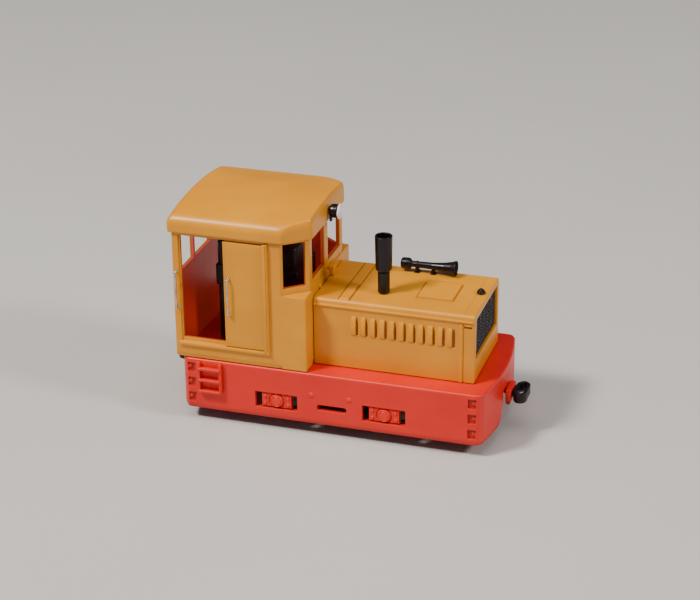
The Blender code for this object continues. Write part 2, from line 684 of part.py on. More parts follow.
def make_gear_train(plastic, brass, steel):
    half_tooth = math.pi / TRAIN_TEETH
    for i, x in enumerate((-8.0, 0.0, 8.0)):
        pivot = joint_empty(f"idler_{i + 1}_line", (x, 0, AXLE_Z))
        phase = half_tooth if i % 2 == 0 else 0.0
        gear(f"idler_gear_{i + 1}", plastic, x, AXLE_Z, TRAIN_TEETH, phase, pivot, (-2.6, 6.2, AXLE_RADIUS))
    pivot = joint_empty("reduction_line", (MOTOR_X, 0, REDUCTION_Z))
    gear("reduction_gear", plastic, MOTOR_X, REDUCTION_Z, REDUCTION_TEETH, 0.0, pivot,
         (-0.4, 6.2, AXLE_RADIUS))
    pivot = joint_empty("motor_line", (MOTOR_X, 0, MOTOR_Z))
    gear("motor_pinion_shaft", brass, MOTOR_X, MOTOR_Z, PINION_TEETH, 0.0, pivot, (-8.0, 4.4, 0.75))

    centre = (MOTOR_X, 0, MOTOR_Z)
    shell = finish(turned([(-11.4, 0), (-11.4, 5.6), (-11.0, 6.0), (-1.5, 6.0), (-1.1, 5.6), (-1.1, 0)],
                          centre, "Y", 28), "motor_casing", steel)
    cut(shell, rod(-8.5, 0, centre, 0.75 + GAP, "Y"))


def make_motor_mount(black):
    mount = finish(box((1.0, -10.8, 17.6), (15.0, -1.4, 24.2), 0.2), "motor_mount", black)
    cut(mount, rod(-12, 0, (MOTOR_X, 0, MOTOR_Z), 6.0 + GAP, "Y", 28))
    cap = finish(rod(-12.6, -11.7, (MOTOR_X, 0, MOTOR_Z), 5.4, "Y", 20), "motor_end_cap", black)
    add(cap, box((MOTOR_X - 3.4, -12.7, MOTOR_Z - 0.7), (MOTOR_X - 2.0, -12.0, MOTOR_Z + 0.7)),
        box((MOTOR_X + 2.0, -12.7, MOTOR_Z - 0.7), (MOTOR_X + 3.4, -12.0, MOTOR_Z + 0.7)))


def make_chassis(zinc, black, bronze, steel):
    chassis = finish(box((-21.5, -6.6, 4.0), (21.5, 6.6, 17.2), 0.3), "chassis_block", zinc)
    add(chassis, box((4.0, -0.9, 15.0), (12.0, 6.6, 22.4)),
        *at_both_ends(lambda: box((20.0, -5.0, 12.4), (29.5, 5.0, 15.6), 0.3)))
    slot_y = (GEAR_Y[0] - 0.4, GEAR_Y[1] + 0.4)
    cut(chassis, box((-21.0, slot_y[0], 2.0), (21.0, slot_y[1], AXLE_Z + 5.0)),
        *at_both_ends(lambda: rod(10.0, 18.0, (BODY_SCREW_X, 0, 0), 1.2, segments=12)))
    cut(chassis, box((0.9, slot_y[0] + 0.01, AXLE_Z + 4.0), (15.1, slot_y[1] - 0.01, 24.0)))

    def axle_slot(x):
        shape = arc((x, AXLE_Z), BORE_RADIUS, 0, 180, 8) + [(x - BORE_RADIUS, 2.0), (x + BORE_RADIUS, 2.0)]
        return prism(shape, -8.0, 8.0, "Y")

    def pin_bore(x, z, start):
        return rod(start, 8.0, (x, 0, z), BORE_RADIUS, "Y")

    cut(chassis, axle_slot(-WHEELBASE / 2), axle_slot(WHEELBASE / 2),
        *[pin_bore(x, AXLE_Z, -3.0) for x in (-8.0, 0.0, 8.0)], pin_bore(MOTOR_X, REDUCTION_Z, -0.6))

    low, high = KEEPER_Z
    screw_x, screw_y = KEEPER_SCREW
    keeper = finish(box((-20.5, -6.0, low), (20.5, 6.0, high), 0.15), "keeper_plate", black)
    for x in (-screw_x, screw_x):
        cut(keeper, turned([(low - 1, 0), (low - 1, 1.6), (low + 0.7, 1.6), (low + 0.7, 0.9), (high + 1, 0.9),
                            (high + 1, 0)], (x, screw_y, 0), segments=10))
    for end, sign in (("rear", -1), ("front", 1)):
        finish(turned([(low + 0.1, 0), (low + 0.1, 1.2), (low + 0.4, 1.2), (low + 0.4, 0.6), (high, 0.6),
                       (high, 0)], (sign * screw_x, screw_y, 0), segments=12), f"keeper_screw_{end}", steel)
        finish(turned([(10.0, 0), (10.0, 1.7), (12.1, 2.0), (12.1, 0.9), (18.0, 0.9), (18.0, 0)],
                      (sign * BODY_SCREW_X, 0, 0), segments=12), f"body_screw_{end}", steel)

    for side, sign in (("right", -1), ("left", 1)):
        strip = [(8.2, 8.7), (6.6, 8.7), (6.6, 7.2), (-6.6, 7.2), (-6.6, 8.7), (-8.2, 8.7), (-8.2, 8.4),
                 (-6.9, 8.4), (-6.9, 6.9), (6.9, 6.9), (6.9, 8.4), (8.2, 8.4)]
        finish(prism([(x, sign * y) for x, y in strip], 8.0, 9.0), f"pickup_{side}", bronze)


def main():
    for item in list(bpy.data.objects):
        bpy.data.objects.remove(item)

    yellow = paint("yellow_plastic", (0.75, 0.37, 0.03), 0.4)
    red = paint("red_plastic", (0.78, 0.035, 0.012), 0.4)
    black = paint("black_plastic", (0.012, 0.011, 0.012), 0.3)
    lens_white = paint("lens_white", (0.85, 0.72, 0.8), 0.2)
    steel = paint("bright_steel", (0.55, 0.55, 0.57), 0.3, 1.0)
    brass = paint("brass", (0.7, 0.5, 0.2), 0.35, 1.0)
    bronze = paint("phosphor_bronze", (0.65, 0.38, 0.2), 0.35, 1.0)
    plastic = paint("gear_plastic", (0.75, 0.73, 0.68), 0.5)
    lead = paint("weight_metal", (0.3, 0.3, 0.32), 0.6, 1.0)
    green = paint("circuit_green", (0.02, 0.15, 0.05), 0.5)

    make_frame(red)
    make_axleboxes(red)
    make_ladders(red)
    make_cab(yellow)
    make_roof(yellow)
    make_hood(yellow)
    make_grille(black)
    make_doors(yellow, steel)
    make_fittings(black, lens_white)
    make_interior(black, lead, green)
    make_couplings(red, black, brass)
    make_wheelsets(steel, plastic)
    make_gear_train(plastic, brass, steel)
    make_motor_mount(black)
    make_chassis(lead, black, bronze, steel)


main()
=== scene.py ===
import json
import math

import bmesh
import bpy
import numpy as np
from mathutils import Matrix, Vector


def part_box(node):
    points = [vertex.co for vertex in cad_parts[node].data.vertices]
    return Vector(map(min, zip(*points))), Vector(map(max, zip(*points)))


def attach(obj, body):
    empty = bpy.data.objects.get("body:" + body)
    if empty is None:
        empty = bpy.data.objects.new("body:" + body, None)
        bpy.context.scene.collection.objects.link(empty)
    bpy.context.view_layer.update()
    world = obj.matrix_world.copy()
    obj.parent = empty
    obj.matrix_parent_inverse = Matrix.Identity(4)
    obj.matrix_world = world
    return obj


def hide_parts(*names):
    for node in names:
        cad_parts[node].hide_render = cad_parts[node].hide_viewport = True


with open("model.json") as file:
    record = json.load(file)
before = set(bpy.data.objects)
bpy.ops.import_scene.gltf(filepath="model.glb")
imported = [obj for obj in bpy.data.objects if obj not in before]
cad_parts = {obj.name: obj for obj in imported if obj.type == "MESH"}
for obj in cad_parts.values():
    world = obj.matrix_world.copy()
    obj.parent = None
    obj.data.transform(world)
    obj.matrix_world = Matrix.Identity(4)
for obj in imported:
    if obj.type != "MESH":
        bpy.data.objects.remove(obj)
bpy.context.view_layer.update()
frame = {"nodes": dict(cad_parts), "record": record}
mm = 0.001  # shapes are worked out in millimetres
print("frame loaded:", len(frame["nodes"]), "nodes")


class Wire:  # a shader socket that takes part in plain arithmetic
    def __init__(self, finish, socket):
        self.finish, self.socket = finish, socket

    def math(self, operation, *values):
        return self.finish.node("ShaderNodeMath", {"operation": operation}, dict(enumerate(values)))

    def __add__(self, other):
        return self.math("ADD", self, other)

    def __sub__(self, other):
        return self.math("SUBTRACT", self, other)

    def __rsub__(self, other):
        return self.math("SUBTRACT", other, self)

    def __mul__(self, other):
        return self.math("MULTIPLY", self, other)

    def between(self, low, high):  # 0 at low, 1 at high, held at both ends
        sockets = {"Value": self, "From Min": low, "From Max": high}
        return self.finish.node("ShaderNodeMapRange", {}, sockets)

    __radd__, __rmul__ = __add__, __mul__


class Finish:  # one node material: constants on the shader, patterns from wires
    def __init__(self, name, **constants):
        self.material = bpy.data.materials.new(name)
        self.material.use_nodes = True
        self.tree = self.material.node_tree
        self.shader = self.tree.nodes["Principled BSDF"]
        for label, value in constants.items():
            self.set(self.shader.inputs[label.replace("_", " ")], value)
        self.place = self.node("ShaderNodeTexCoord", {}, {}, "Object")

    def set(self, socket, value):
        if isinstance(value, Wire):
            self.tree.links.new(value.socket, socket)
        elif isinstance(value, tuple) and len(value) == 3 and socket.type == "RGBA":
            socket.default_value = (*value, 1.0)
        else:
            socket.default_value = value

    def node(self, kind, settings, inputs, output=0):
        made = self.tree.nodes.new(kind)
        for label, value in settings.items():
            setattr(made, label, value)
        for label, value in inputs.items():
            self.set(made.inputs[label], value)
        return Wire(self, made.outputs[output])

    def noise(self, scale, detail=2.0, stretch=(1.0, 1.0, 1.0)):
        place = self.place
        if stretch != (1.0, 1.0, 1.0):
            place = self.node("ShaderNodeMapping", {}, {"Vector": self.place, "Scale": stretch})
        return self.node("ShaderNodeTexNoise", {}, {"Vector": place, "Scale": scale, "Detail": detail})

    def relief(self):
        return self.node("ShaderNodeAttribute", {"attribute_name": "relief"}, {}, "Fac")

    def mix(self, share, first, second):
        made = self.tree.nodes.new("ShaderNodeMix")
        made.data_type = "RGBA"
        self.set(made.inputs[0], share)
        self.set(made.inputs[6], first)
        self.set(made.inputs[7], second)
        return Wire(self, made.outputs[2])

    def give(self, **wires):
        for label, wire in wires.items():
            self.set(self.shader.inputs[label.replace("_", " ")], wire)

    def bump(self, pattern, strength, distance):
        sockets = {"Height": pattern, "Strength": strength, "Distance": distance}
        return self.node("ShaderNodeBump", {}, sockets)


insideMark = -5.0  # the relief that is given to inner faces, far below that of any outer face


def mouldedPlastic(name, look):
    # Base colour with a slow drift, painted shade that darkens hollows, a painted highlight that pales
    # raised edges, a few specks, fine grain.
    # Inner faces have a colour of their own, a painted shade, and emit a little light, a painted light, to
    # brighten them.
    finish = Finish(name, IOR=1.46, Coat_Weight=look["coat"], Coat_Roughness=look["coatRoughness"],
                    Emission_Strength=look["glow"])
    drift = finish.noise(60.0, 3.0).between(0.3, 0.7)
    flow = finish.noise(220.0, 2.0, (0.3, 1.0, 1.6)).between(0.35, 0.65)
    relief = finish.relief()
    # How far a point is sunk: drives the painted shade in hollows and their roughness.
    hollow = (relief * -1.0).between(0.02, 0.3)
    raisedHighlight = relief.between(0.1, 0.6)
    specks = finish.noise(2600.0, 1.0).between(0.76, 0.8)
    colour = finish.mix(drift * 0.5 + flow * 0.12, look["colour"], look["paler"])
    # Painted highlight: raised parts are drawn towards the paler colour, as if lit more.
    colour = finish.mix(raisedHighlight * look["edge"], colour, look["paler"])
    # Painted shade: hollows are drawn towards the darkest colour, which the dirt specks share.
    colour = finish.mix(hollow * look["wash"], colour, look["shadeAndDirt"])
    # Painted shade: inner faces, marked by their very low relief, take a colour of their own.
    inner = (relief * -1.0).between(-insideMark * 0.52, -insideMark * 0.64)
    colour = finish.mix(inner, colour, look["inside"])
    colour = finish.mix(specks * look["specks"], colour, look["shadeAndDirt"])
    grain = finish.noise(1500.0, 2.0)
    roughness = look["roughness"] + (drift - 0.5) * 0.06 + (grain - 0.5) * 0.1 + hollow * 0.1
    surface = grain * 0.6 + finish.noise(5200.0, 1.0) * 0.4
    # The inner faces' emission is painted light that brightens them without a lamp.
    finish.give(Base_Color=colour, Roughness=roughness, Normal=finish.bump(surface, look["grain"], 0.00006),
                Emission_Color=finish.mix(inner, (0.0, 0.0, 0.0), look["inside"]))
    return finish.material


def metal(name, look):
    # Drawn or turned metal: fine lines along one way, tarnish in slow patches.
    finish = Finish(name, Metallic=1.0, Anisotropic=0.3)
    lines = finish.noise(900.0, 2.0, look["lines"])
    tarnish = finish.noise(350.0, 3.0).between(0.45, 0.7)
    colour = finish.mix(tarnish * look["tarnish"], look["colour"], look["aged"])
    finish.give(Base_Color=colour, Roughness=look["roughness"] + (lines - 0.5) * 0.2 + tarnish * 0.15,
                Normal=finish.bump(lines, 0.25, 0.00003))
    return finish.material


def blackFinish(name, look):
    # Dark plastic with a slight violet cast, dust settled on it and small scuffs in the gloss.
    finish = Finish(name, IOR=1.45, Specular_IOR_Level=0.35, Coat_Weight=look["coat"], Coat_Roughness=0.12)
    dust = finish.noise(700.0, 4.0).between(0.5, 0.85)
    scuffs = finish.noise(1400.0, 2.0, (1.0, 1.0, 0.15)).between(0.55, 0.75)
    colour = finish.mix(dust * look["dust"], look["colour"], look["dusty"])
    finish.give(Base_Color=colour, Roughness=look["roughness"] + dust * 0.15 + scuffs * 0.12,
                Normal=finish.bump(finish.noise(2400.0, 2.0), look["grain"], 0.00005))
    return finish.material


def lensFinish():
    # Milky lens: two pale tints that pass into each other like cloud.
    look = {"colour": (0.86, 0.74, 0.8), "paler": (0.97, 0.93, 0.95)}
    finish = Finish("milkyLens", IOR=1.49, Coat_Weight=0.8, Coat_Roughness=0.04, Subsurface_Weight=0.2,
                    Subsurface_Radius=(1.0, 0.8, 0.9), Subsurface_Scale=0.001)
    cloud = finish.noise(900.0, 2.0).between(0.35, 0.7)
    finish.give(Base_Color=finish.mix(cloud, look["colour"], look["paler"]), Roughness=0.14 + cloud * 0.1)
    return finish.material


def boardFinish():
    # Lacquered board with copper tracks showing as a paler net.
    finish = Finish("lacqueredBoard", Coat_Weight=0.6, Coat_Roughness=0.15)
    tracks = finish.node("ShaderNodeTexBrick", {}, {"Vector": finish.place, "Scale": 500.0,
                                                   "Mortar Size": 0.03}, "Fac")
    finish.give(Base_Color=finish.mix(tracks, (0.01, 0.1, 0.035), (0.05, 0.28, 0.1)),
                Roughness=0.35 + tracks * 0.1)
    return finish.material


# In the plastics the darkest colour is both the specks' dirt and a painted shade in hollows. The paler
# colour is both a random tone and a painted highlight on raised parts. The inner faces' colour is a painted
# shade, and their emission is painted light.
finishes = {  # one for each material slot
    "yellow_plastic": mouldedPlastic("satinYellow", {
        "colour": (0.66, 0.245, 0.0), "paler": (0.80, 0.34, 0.004),
        # The yellow's inner faces are red-brown: painted shade mixed with a painted reflection of the red
        # frame, and they emit a little painted light.
        "shadeAndDirt": (0.30, 0.07, 0.002), "inside": (0.62, 0.045, 0.022),
        "edge": 0.35, "wash": 0.8, "specks": 0.6, "roughness": 0.36, "coat": 0.06, "coatRoughness": 0.3,
        "glow": 0.13, "grain": 0.16}),
    "red_plastic": mouldedPlastic("satinRed", {
        "colour": (0.66, 0.006, 0.001), "paler": (0.82, 0.016, 0.003),
        "shadeAndDirt": (0.25, 0.004, 0.002), "inside": (0.30, 0.004, 0.002),
        "edge": 0.5, "wash": 0.55, "specks": 0.5, "roughness": 0.40, "coat": 0.04, "coatRoughness": 0.3,
        "glow": 0.0, "grain": 0.16}),
    "gear_plastic": mouldedPlastic("acetalWhite", {
        "colour": (0.66, 0.63, 0.56), "paler": (0.78, 0.76, 0.70),
        "shadeAndDirt": (0.16, 0.12, 0.07), "inside": (0.4, 0.38, 0.34),
        "edge": 0.2, "wash": 0.6, "specks": 0.5, "roughness": 0.35, "coat": 0.1, "coatRoughness": 0.2,
        "glow": 0.0, "grain": 0.12}),
    "gloss_black": blackFinish("semiGlossBlack", {
        "colour": (0.004, 0.002, 0.004), "dusty": (0.02, 0.014, 0.018), "dust": 0.4, "roughness": 0.3,
        "coat": 0.12, "grain": 0.12}),
    "black_plastic": blackFinish("mattBlack", {
        "colour": (0.005, 0.003, 0.005), "dusty": (0.03, 0.02, 0.024), "dust": 0.5, "roughness": 0.45,
        "coat": 0.05, "grain": 0.25}),
    "grille_black": blackFinish("meshBlack", {
        "colour": (0.006, 0.003, 0.007), "dusty": (0.022, 0.013, 0.026), "dust": 0.5, "roughness": 0.33,
        "coat": 0.2, "grain": 0.15}),
    "steel_wire": metal("drawnWire", {
        "colour": (0.62, 0.56, 0.50), "aged": (0.28, 0.18, 0.11), "tarnish": 0.7, "roughness": 0.24,
        "lines": (1.0, 1.0, 0.1)}),
    "wheel_steel": metal("turnedSteel", {
        "colour": (0.10, 0.095, 0.09), "aged": (0.03, 0.022, 0.018), "tarnish": 0.8, "roughness": 0.35,
        "lines": (1.0, 4.0, 1.0)}),
    "weight_metal": metal("castZinc", {
        "colour": (0.26, 0.26, 0.28), "aged": (0.12, 0.11, 0.11), "tarnish": 0.8, "roughness": 0.5,
        "lines": (1.0, 1.0, 1.0)}),
    "brass": metal("turnedBrass", {
        "colour": (0.70, 0.47, 0.16), "aged": (0.28, 0.15, 0.05), "tarnish": 0.5, "roughness": 0.26,
        "lines": (1.0, 1.0, 5.0)}),
    "bronze": metal("springBronze", {
        "colour": (0.62, 0.34, 0.17), "aged": (0.25, 0.12, 0.06), "tarnish": 0.5, "roughness": 0.3,
        "lines": (0.2, 1.0, 1.0)}),
    "lens_white": lensFinish(),
    "circuit_green": boardFinish(),
}
print("materials made:", len(finishes))


# From here on a part is (points in millimetres, four-cornered faces, relief at each point).

def span(node):  # the node's box in millimetres, to the nearest micrometre
    low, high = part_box(node)
    return np.round(np.array(low) / mm, 3), np.round(np.array(high) / mm, 3)


def centreOf(node):
    low, high = span(node)
    return (low + high) / 2


def rise(value, edge, soft=0.07):  # 0 before the edge, 1 after it, an S curve between
    t = np.clip((value - edge) / (2 * soft) + 0.5, 0, 1)
    return t * t * (3 - 2 * t)


def band(value, low, high, soft=0.07):  # 1 between two edges, 0 outside them
    return rise(value, low, soft) * (1 - rise(value, high, soft))


def patch(u, v, box, soft=0.07):  # 1 inside a rectangle (u from, u to, v from, v to), 0 outside it
    return band(u, box[0], box[1], soft) * band(v, box[2], box[3], soft)


def dome(u, v, centre, radius):  # half ball: the square root of one less the distance squared
    distance = ((u - centre[0]) ** 2 + (v - centre[1]) ** 2) / radius ** 2
    return np.sqrt(np.clip(1 - distance, 0, 1))


def rolled(u, v, box, radius):  # how far the edge round an opening falls back: a quarter circle
    across = np.maximum(np.maximum(box[0] - u, u - box[1]), 0)
    along = np.maximum(np.maximum(box[2] - v, v - box[3]), 0)
    near = np.clip(1 - np.hypot(across, along) / radius, 0, 1)
    return -radius * (1 - np.sqrt(1 - near ** 2))


def merged(*groups):  # all the lines of several groups, in order, each one once
    return np.unique(np.round(np.concatenate(groups), 3))


def lines(low, high, step, edges=(), offsets=(-0.2, -0.07, 0, 0.07, 0.2)):
    # Grid lines: even ones about a step apart, and closer ones at the offsets from each edge.
    even = np.linspace(low, high, max(1, round((high - low) / step)) + 1)
    near = (np.array(list(edges))[:, None] + np.array(offsets)).ravel() if len(edges) else np.array([])
    every = merged(even, near)
    return every[(every >= low) & (every <= high)]


def middles(values):
    return (values[1:] + values[:-1]) / 2


def within(u, v, box):
    return (u > box[0]) & (u < box[1]) & (v > box[2]) & (v < box[3])


def gridFaces(rows, columns, loop):  # the cells of a grid; with loop, the last row joins the first
    index = np.arange(rows * columns).reshape(rows, columns)
    here = index if loop else index[:-1]
    ahead = np.roll(index, -1, 0) if loop else index[1:]
    return np.stack([here[:, :-1], ahead[:, :-1], ahead[:, 1:], here[:, 1:]], -1)


def outwards(points, faces):  # a closed skin has a positive volume when its faces point out
    a, b, c, d = (points[faces[:, i]] for i in range(4))
    volume = (np.cross(b, c) * a).sum() + (np.cross(c, d) * a).sum()
    return faces if volume > 0 else faces[:, ::-1]


def wall(outer, inner, keep=None, loop=False, relief=None, spine=False, inside=0.0):
    # Two grids, either side of a wall. Each edge that only one kept face has gets a rim face,
    # except along a spine, where the last column folds onto itself.
    rows, columns = outer.shape[:2]
    count = rows * columns
    cells = gridFaces(rows, columns, loop)
    faces = cells[keep] if keep is not None else cells.reshape(-1, 4)
    edges = np.concatenate([faces[:, [i, (i + 1) % 4]] for i in range(4)])
    keys = edges.min(1) * count + edges.max(1)
    _, place, times = np.unique(keys, return_inverse=True, return_counts=True)
    rim = edges[times[place] == 1]
    if spine:
        rim = rim[(rim % columns != columns - 1).any(1)]
    sides = np.stack([rim[:, 1], rim[:, 0], rim[:, 0] + count, rim[:, 1] + count], -1)
    points = np.concatenate([outer.reshape(-1, 3), inner.reshape(-1, 3)])
    every = outwards(points, np.concatenate([faces, faces[:, ::-1] + count, sides]))
    height = np.full(2 * count, float(inside))
    height[:count] = 0
    if relief is not None:
        height[:count] = relief.ravel()
    return points, every, height


def closedSkin(grid):  # a loop of rows, closed at both ends by drawing each end ring to its middle
    first, last = grid[:, :1].mean(0, keepdims=True), grid[:, -1:].mean(0, keepdims=True)
    rows = grid.shape[0]
    grid = np.concatenate([np.repeat(first, rows, 0), grid, np.repeat(last, rows, 0)], 1)
    points = grid.reshape(-1, 3)
    faces = gridFaces(rows, grid.shape[1], True).reshape(-1, 4)
    return points, outwards(points, faces), np.zeros(len(points))


def turned(profile, centre, axis="Z", segments=48):
    # (distance along the axis, radius) pairs carried round the axis.
    along, radius = np.array(profile, float).T
    angle = np.linspace(0, math.tau, segments, endpoint=False)[:, None]
    ring = [np.broadcast_to(along, (segments, len(along))), radius * np.cos(angle), radius * np.sin(angle)]
    order = {"X": (0, 1, 2), "Y": (2, 0, 1), "Z": (1, 2, 0)}[axis]
    return closedSkin(np.stack([ring[i] for i in order], -1) + np.array(centre, float))


def softened(points, radius, steps=4):
    # Each inner corner of a polyline becomes an arc of parabola that starts radius before it.
    points = np.array(points, float)
    made = [points[:1]]
    for before, corner, after in zip(points, points[1:], points[2:]):
        reach = min(radius, np.linalg.norm(before - corner) / 2.01, np.linalg.norm(after - corner) / 2.01)
        start = corner + (before - corner) / np.linalg.norm(before - corner) * reach
        end = corner + (after - corner) / np.linalg.norm(after - corner) * reach
        t = np.linspace(0, 1, steps + 1)[:, None]
        made.append(start * (1 - t) ** 2 + corner * 2 * t * (1 - t) + end * t ** 2)
    return np.concatenate(made + [points[-1:]])


def block(low, high, radius=0.15, steps=3):
    # A box grown by a ball: each direction of the ball starts from its own corner of the inner box.
    low, high = np.array(low, float), np.array(high, float)
    core = (high - low) / 2 - radius
    turn = np.concatenate([q * 90 + np.linspace(0, 90, steps + 1) for q in range(4)])
    quarter = np.repeat(np.arange(4), steps + 1)
    tilt = np.concatenate([np.linspace(-90, 0, steps + 1), np.linspace(0, 90, steps + 1)])
    half = np.repeat([-1, 1], steps + 1)
    turn, tilt = np.radians(turn)[:, None], np.radians(tilt)[None, :]
    east = np.where(np.isin(quarter, (0, 3)), 1, -1)[:, None]
    north = np.where(quarter < 2, 1, -1)[:, None]
    shape = np.stack([east * core[0] + radius * np.cos(turn) * np.cos(tilt),
                      north * core[1] + radius * np.sin(turn) * np.cos(tilt),
                      half[None, :] * core[2] + radius * np.sin(tilt) + 0 * turn], -1)
    return closedSkin(shape + (low + high) / 2)


def ringSeam(rows, columns):  # the cells that join each row's last point to its first
    first = np.arange(rows) * columns
    ahead = np.roll(first, -1)
    return np.stack([first + columns - 1, ahead + columns - 1, ahead, first], -1)


def swept(path, section, flat, closed=False):
    # A section of (sideways, upwards) pairs carried along a path that lies square to flat.
    path, section, flat = np.array(path, float), np.array(section, float), np.array(flat, float)
    ahead = np.roll(path, -1, 0) - np.roll(path, 1, 0) if closed else np.gradient(path, axis=0)
    ahead /= np.linalg.norm(ahead, axis=1)[:, None]
    side = np.cross(flat, ahead)
    grid = path[None] + section[:, None, :1] * side[None] + section[:, None, 1:] * flat
    if not closed:
        return closedSkin(grid)
    points = grid.transpose(1, 0, 2).reshape(-1, 3)
    cells = gridFaces(len(path), len(section), True).reshape(-1, 4)
    seam = ringSeam(len(path), len(section))
    return points, outwards(points, np.concatenate([cells, seam])), np.zeros(len(points))


def roundSection(radius, sides=14):  # a circle as (sideways, upwards) pairs
    angle = np.linspace(0, math.tau, sides, endpoint=False)
    return np.stack([radius * np.cos(angle), radius * np.sin(angle)], -1)


def mirrored(part):  # the same part on the other side of the centre line
    points, faces, relief = part
    return points * (1, -1, 1), faces[:, ::-1], relief


def turnedRound(part):  # half a turn about Z
    points, faces, relief = part
    return points * (-1, -1, 1), faces, relief


def piece(name, parts, node, slot, body="chassis", sharp=38):
    # Gathers the parts into one mesh, merges what meets, and lets it ride in the node's place.
    starts = np.cumsum([0] + [len(part[0]) for part in parts])
    points = np.concatenate([part[0] for part in parts]) * mm
    faces = np.concatenate([part[1] + start for part, start in zip(parts, starts)])
    relief = np.concatenate([part[2] for part in parts])
    used, faces = np.unique(faces, return_inverse=True)
    faces = faces.reshape(-1, 4)
    mesh = bpy.data.meshes.new(name)
    mesh.from_pydata(points[used], [], faces)
    reliefLayer = mesh.attributes.new("relief", "FLOAT", "POINT")
    reliefLayer.data.foreach_set("value", relief[used].astype(np.float32))
    bm = bmesh.new()
    bm.from_mesh(mesh)
    bmesh.ops.remove_doubles(bm, verts=bm.verts, dist=2e-7)
    bmesh.ops.dissolve_degenerate(bm, edges=bm.edges, dist=1e-7)
    bm.to_mesh(mesh)
    bm.free()
    mesh.shade_smooth()
    mesh.set_sharp_from_angle(angle=math.radians(sharp))
    mesh.materials.append(finishes[slot])
    made = bpy.data.objects.new(name, mesh)
    bpy.context.scene.collection.objects.link(made)
    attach(made, body)
    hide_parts(node)
    return made


frameSettings = {
    "wallThickness": 1.4, "bow": 2.6, "cornerRadius": 1.6, "topRoll": 0.7, "footRadius": 0.3,
    "axleboxHalf": 6.3, "axleboxZ": (7.0, 11.8), "slotEnds": (-3.7, 5.0), "slotZ": (8.45, 10.15),
    "pocketX": 42.0, "pocketZ": (16.9, 12.2, 7.4), "pocketHalf": (1.6, 1.4), "pocketDepth": 0.55,
    "pocketRim": 0.12, "studRadius": 0.68, "studProud": 0.42,
    "rivetX": (-5.4, 5.9), "rivetZ": 13.0, "rivetRadius": 0.7, "rivetProud": 0.35,
    "motorOpening": (-4.0, 16.6, 11.0),
    "notch": ((3.9, 6.5), (6.0, 6.0), (8.6, 4.2), (13.4, 3.9)),  # height and half width
    "bossRadii": (1.2, 2.4), "bossFoot": 15.6,
}


def framePlan(settings, length, width, xLines, yLines, inset=0.0):
    # Straight sides, ends that bulge by bow at the middle, a quarter circle between them.
    radius, bow = settings["cornerRadius"], settings["bow"]

    def end(y):
        return length - bow * (y / width) ** 2

    turn = np.linspace(0, 1, 7)[1:-1]
    foot = end(width) - radius
    ease = radius * (1 - np.cos(turn * math.pi / 2))
    cornerX = foot + radius * np.sin(turn * math.pi / 2)
    cornerY = -width + ease
    keepX = xLines[np.abs(xLines) < foot]
    side = np.stack([np.concatenate([[-foot], keepX, [foot]]), np.full(len(keepX) + 2, -width)], -1)
    keepY = yLines[np.abs(yLines) < width - radius]
    ends = np.concatenate([[-(width - radius)], keepY, [width - radius]])
    front = np.stack([end(ends), ends], -1)
    corner = np.stack([cornerX, cornerY], -1)
    right = np.concatenate([side, corner, front, corner[::-1] * (1, -1)])
    plan = np.concatenate([right, -right])
    tangent = np.roll(plan, -1, 0) - np.roll(plan, 1, 0)
    tangent /= np.linalg.norm(tangent, axis=1)[:, None]
    normal = np.stack([tangent[:, 1], -tangent[:, 0]], -1)
    return plan, normal


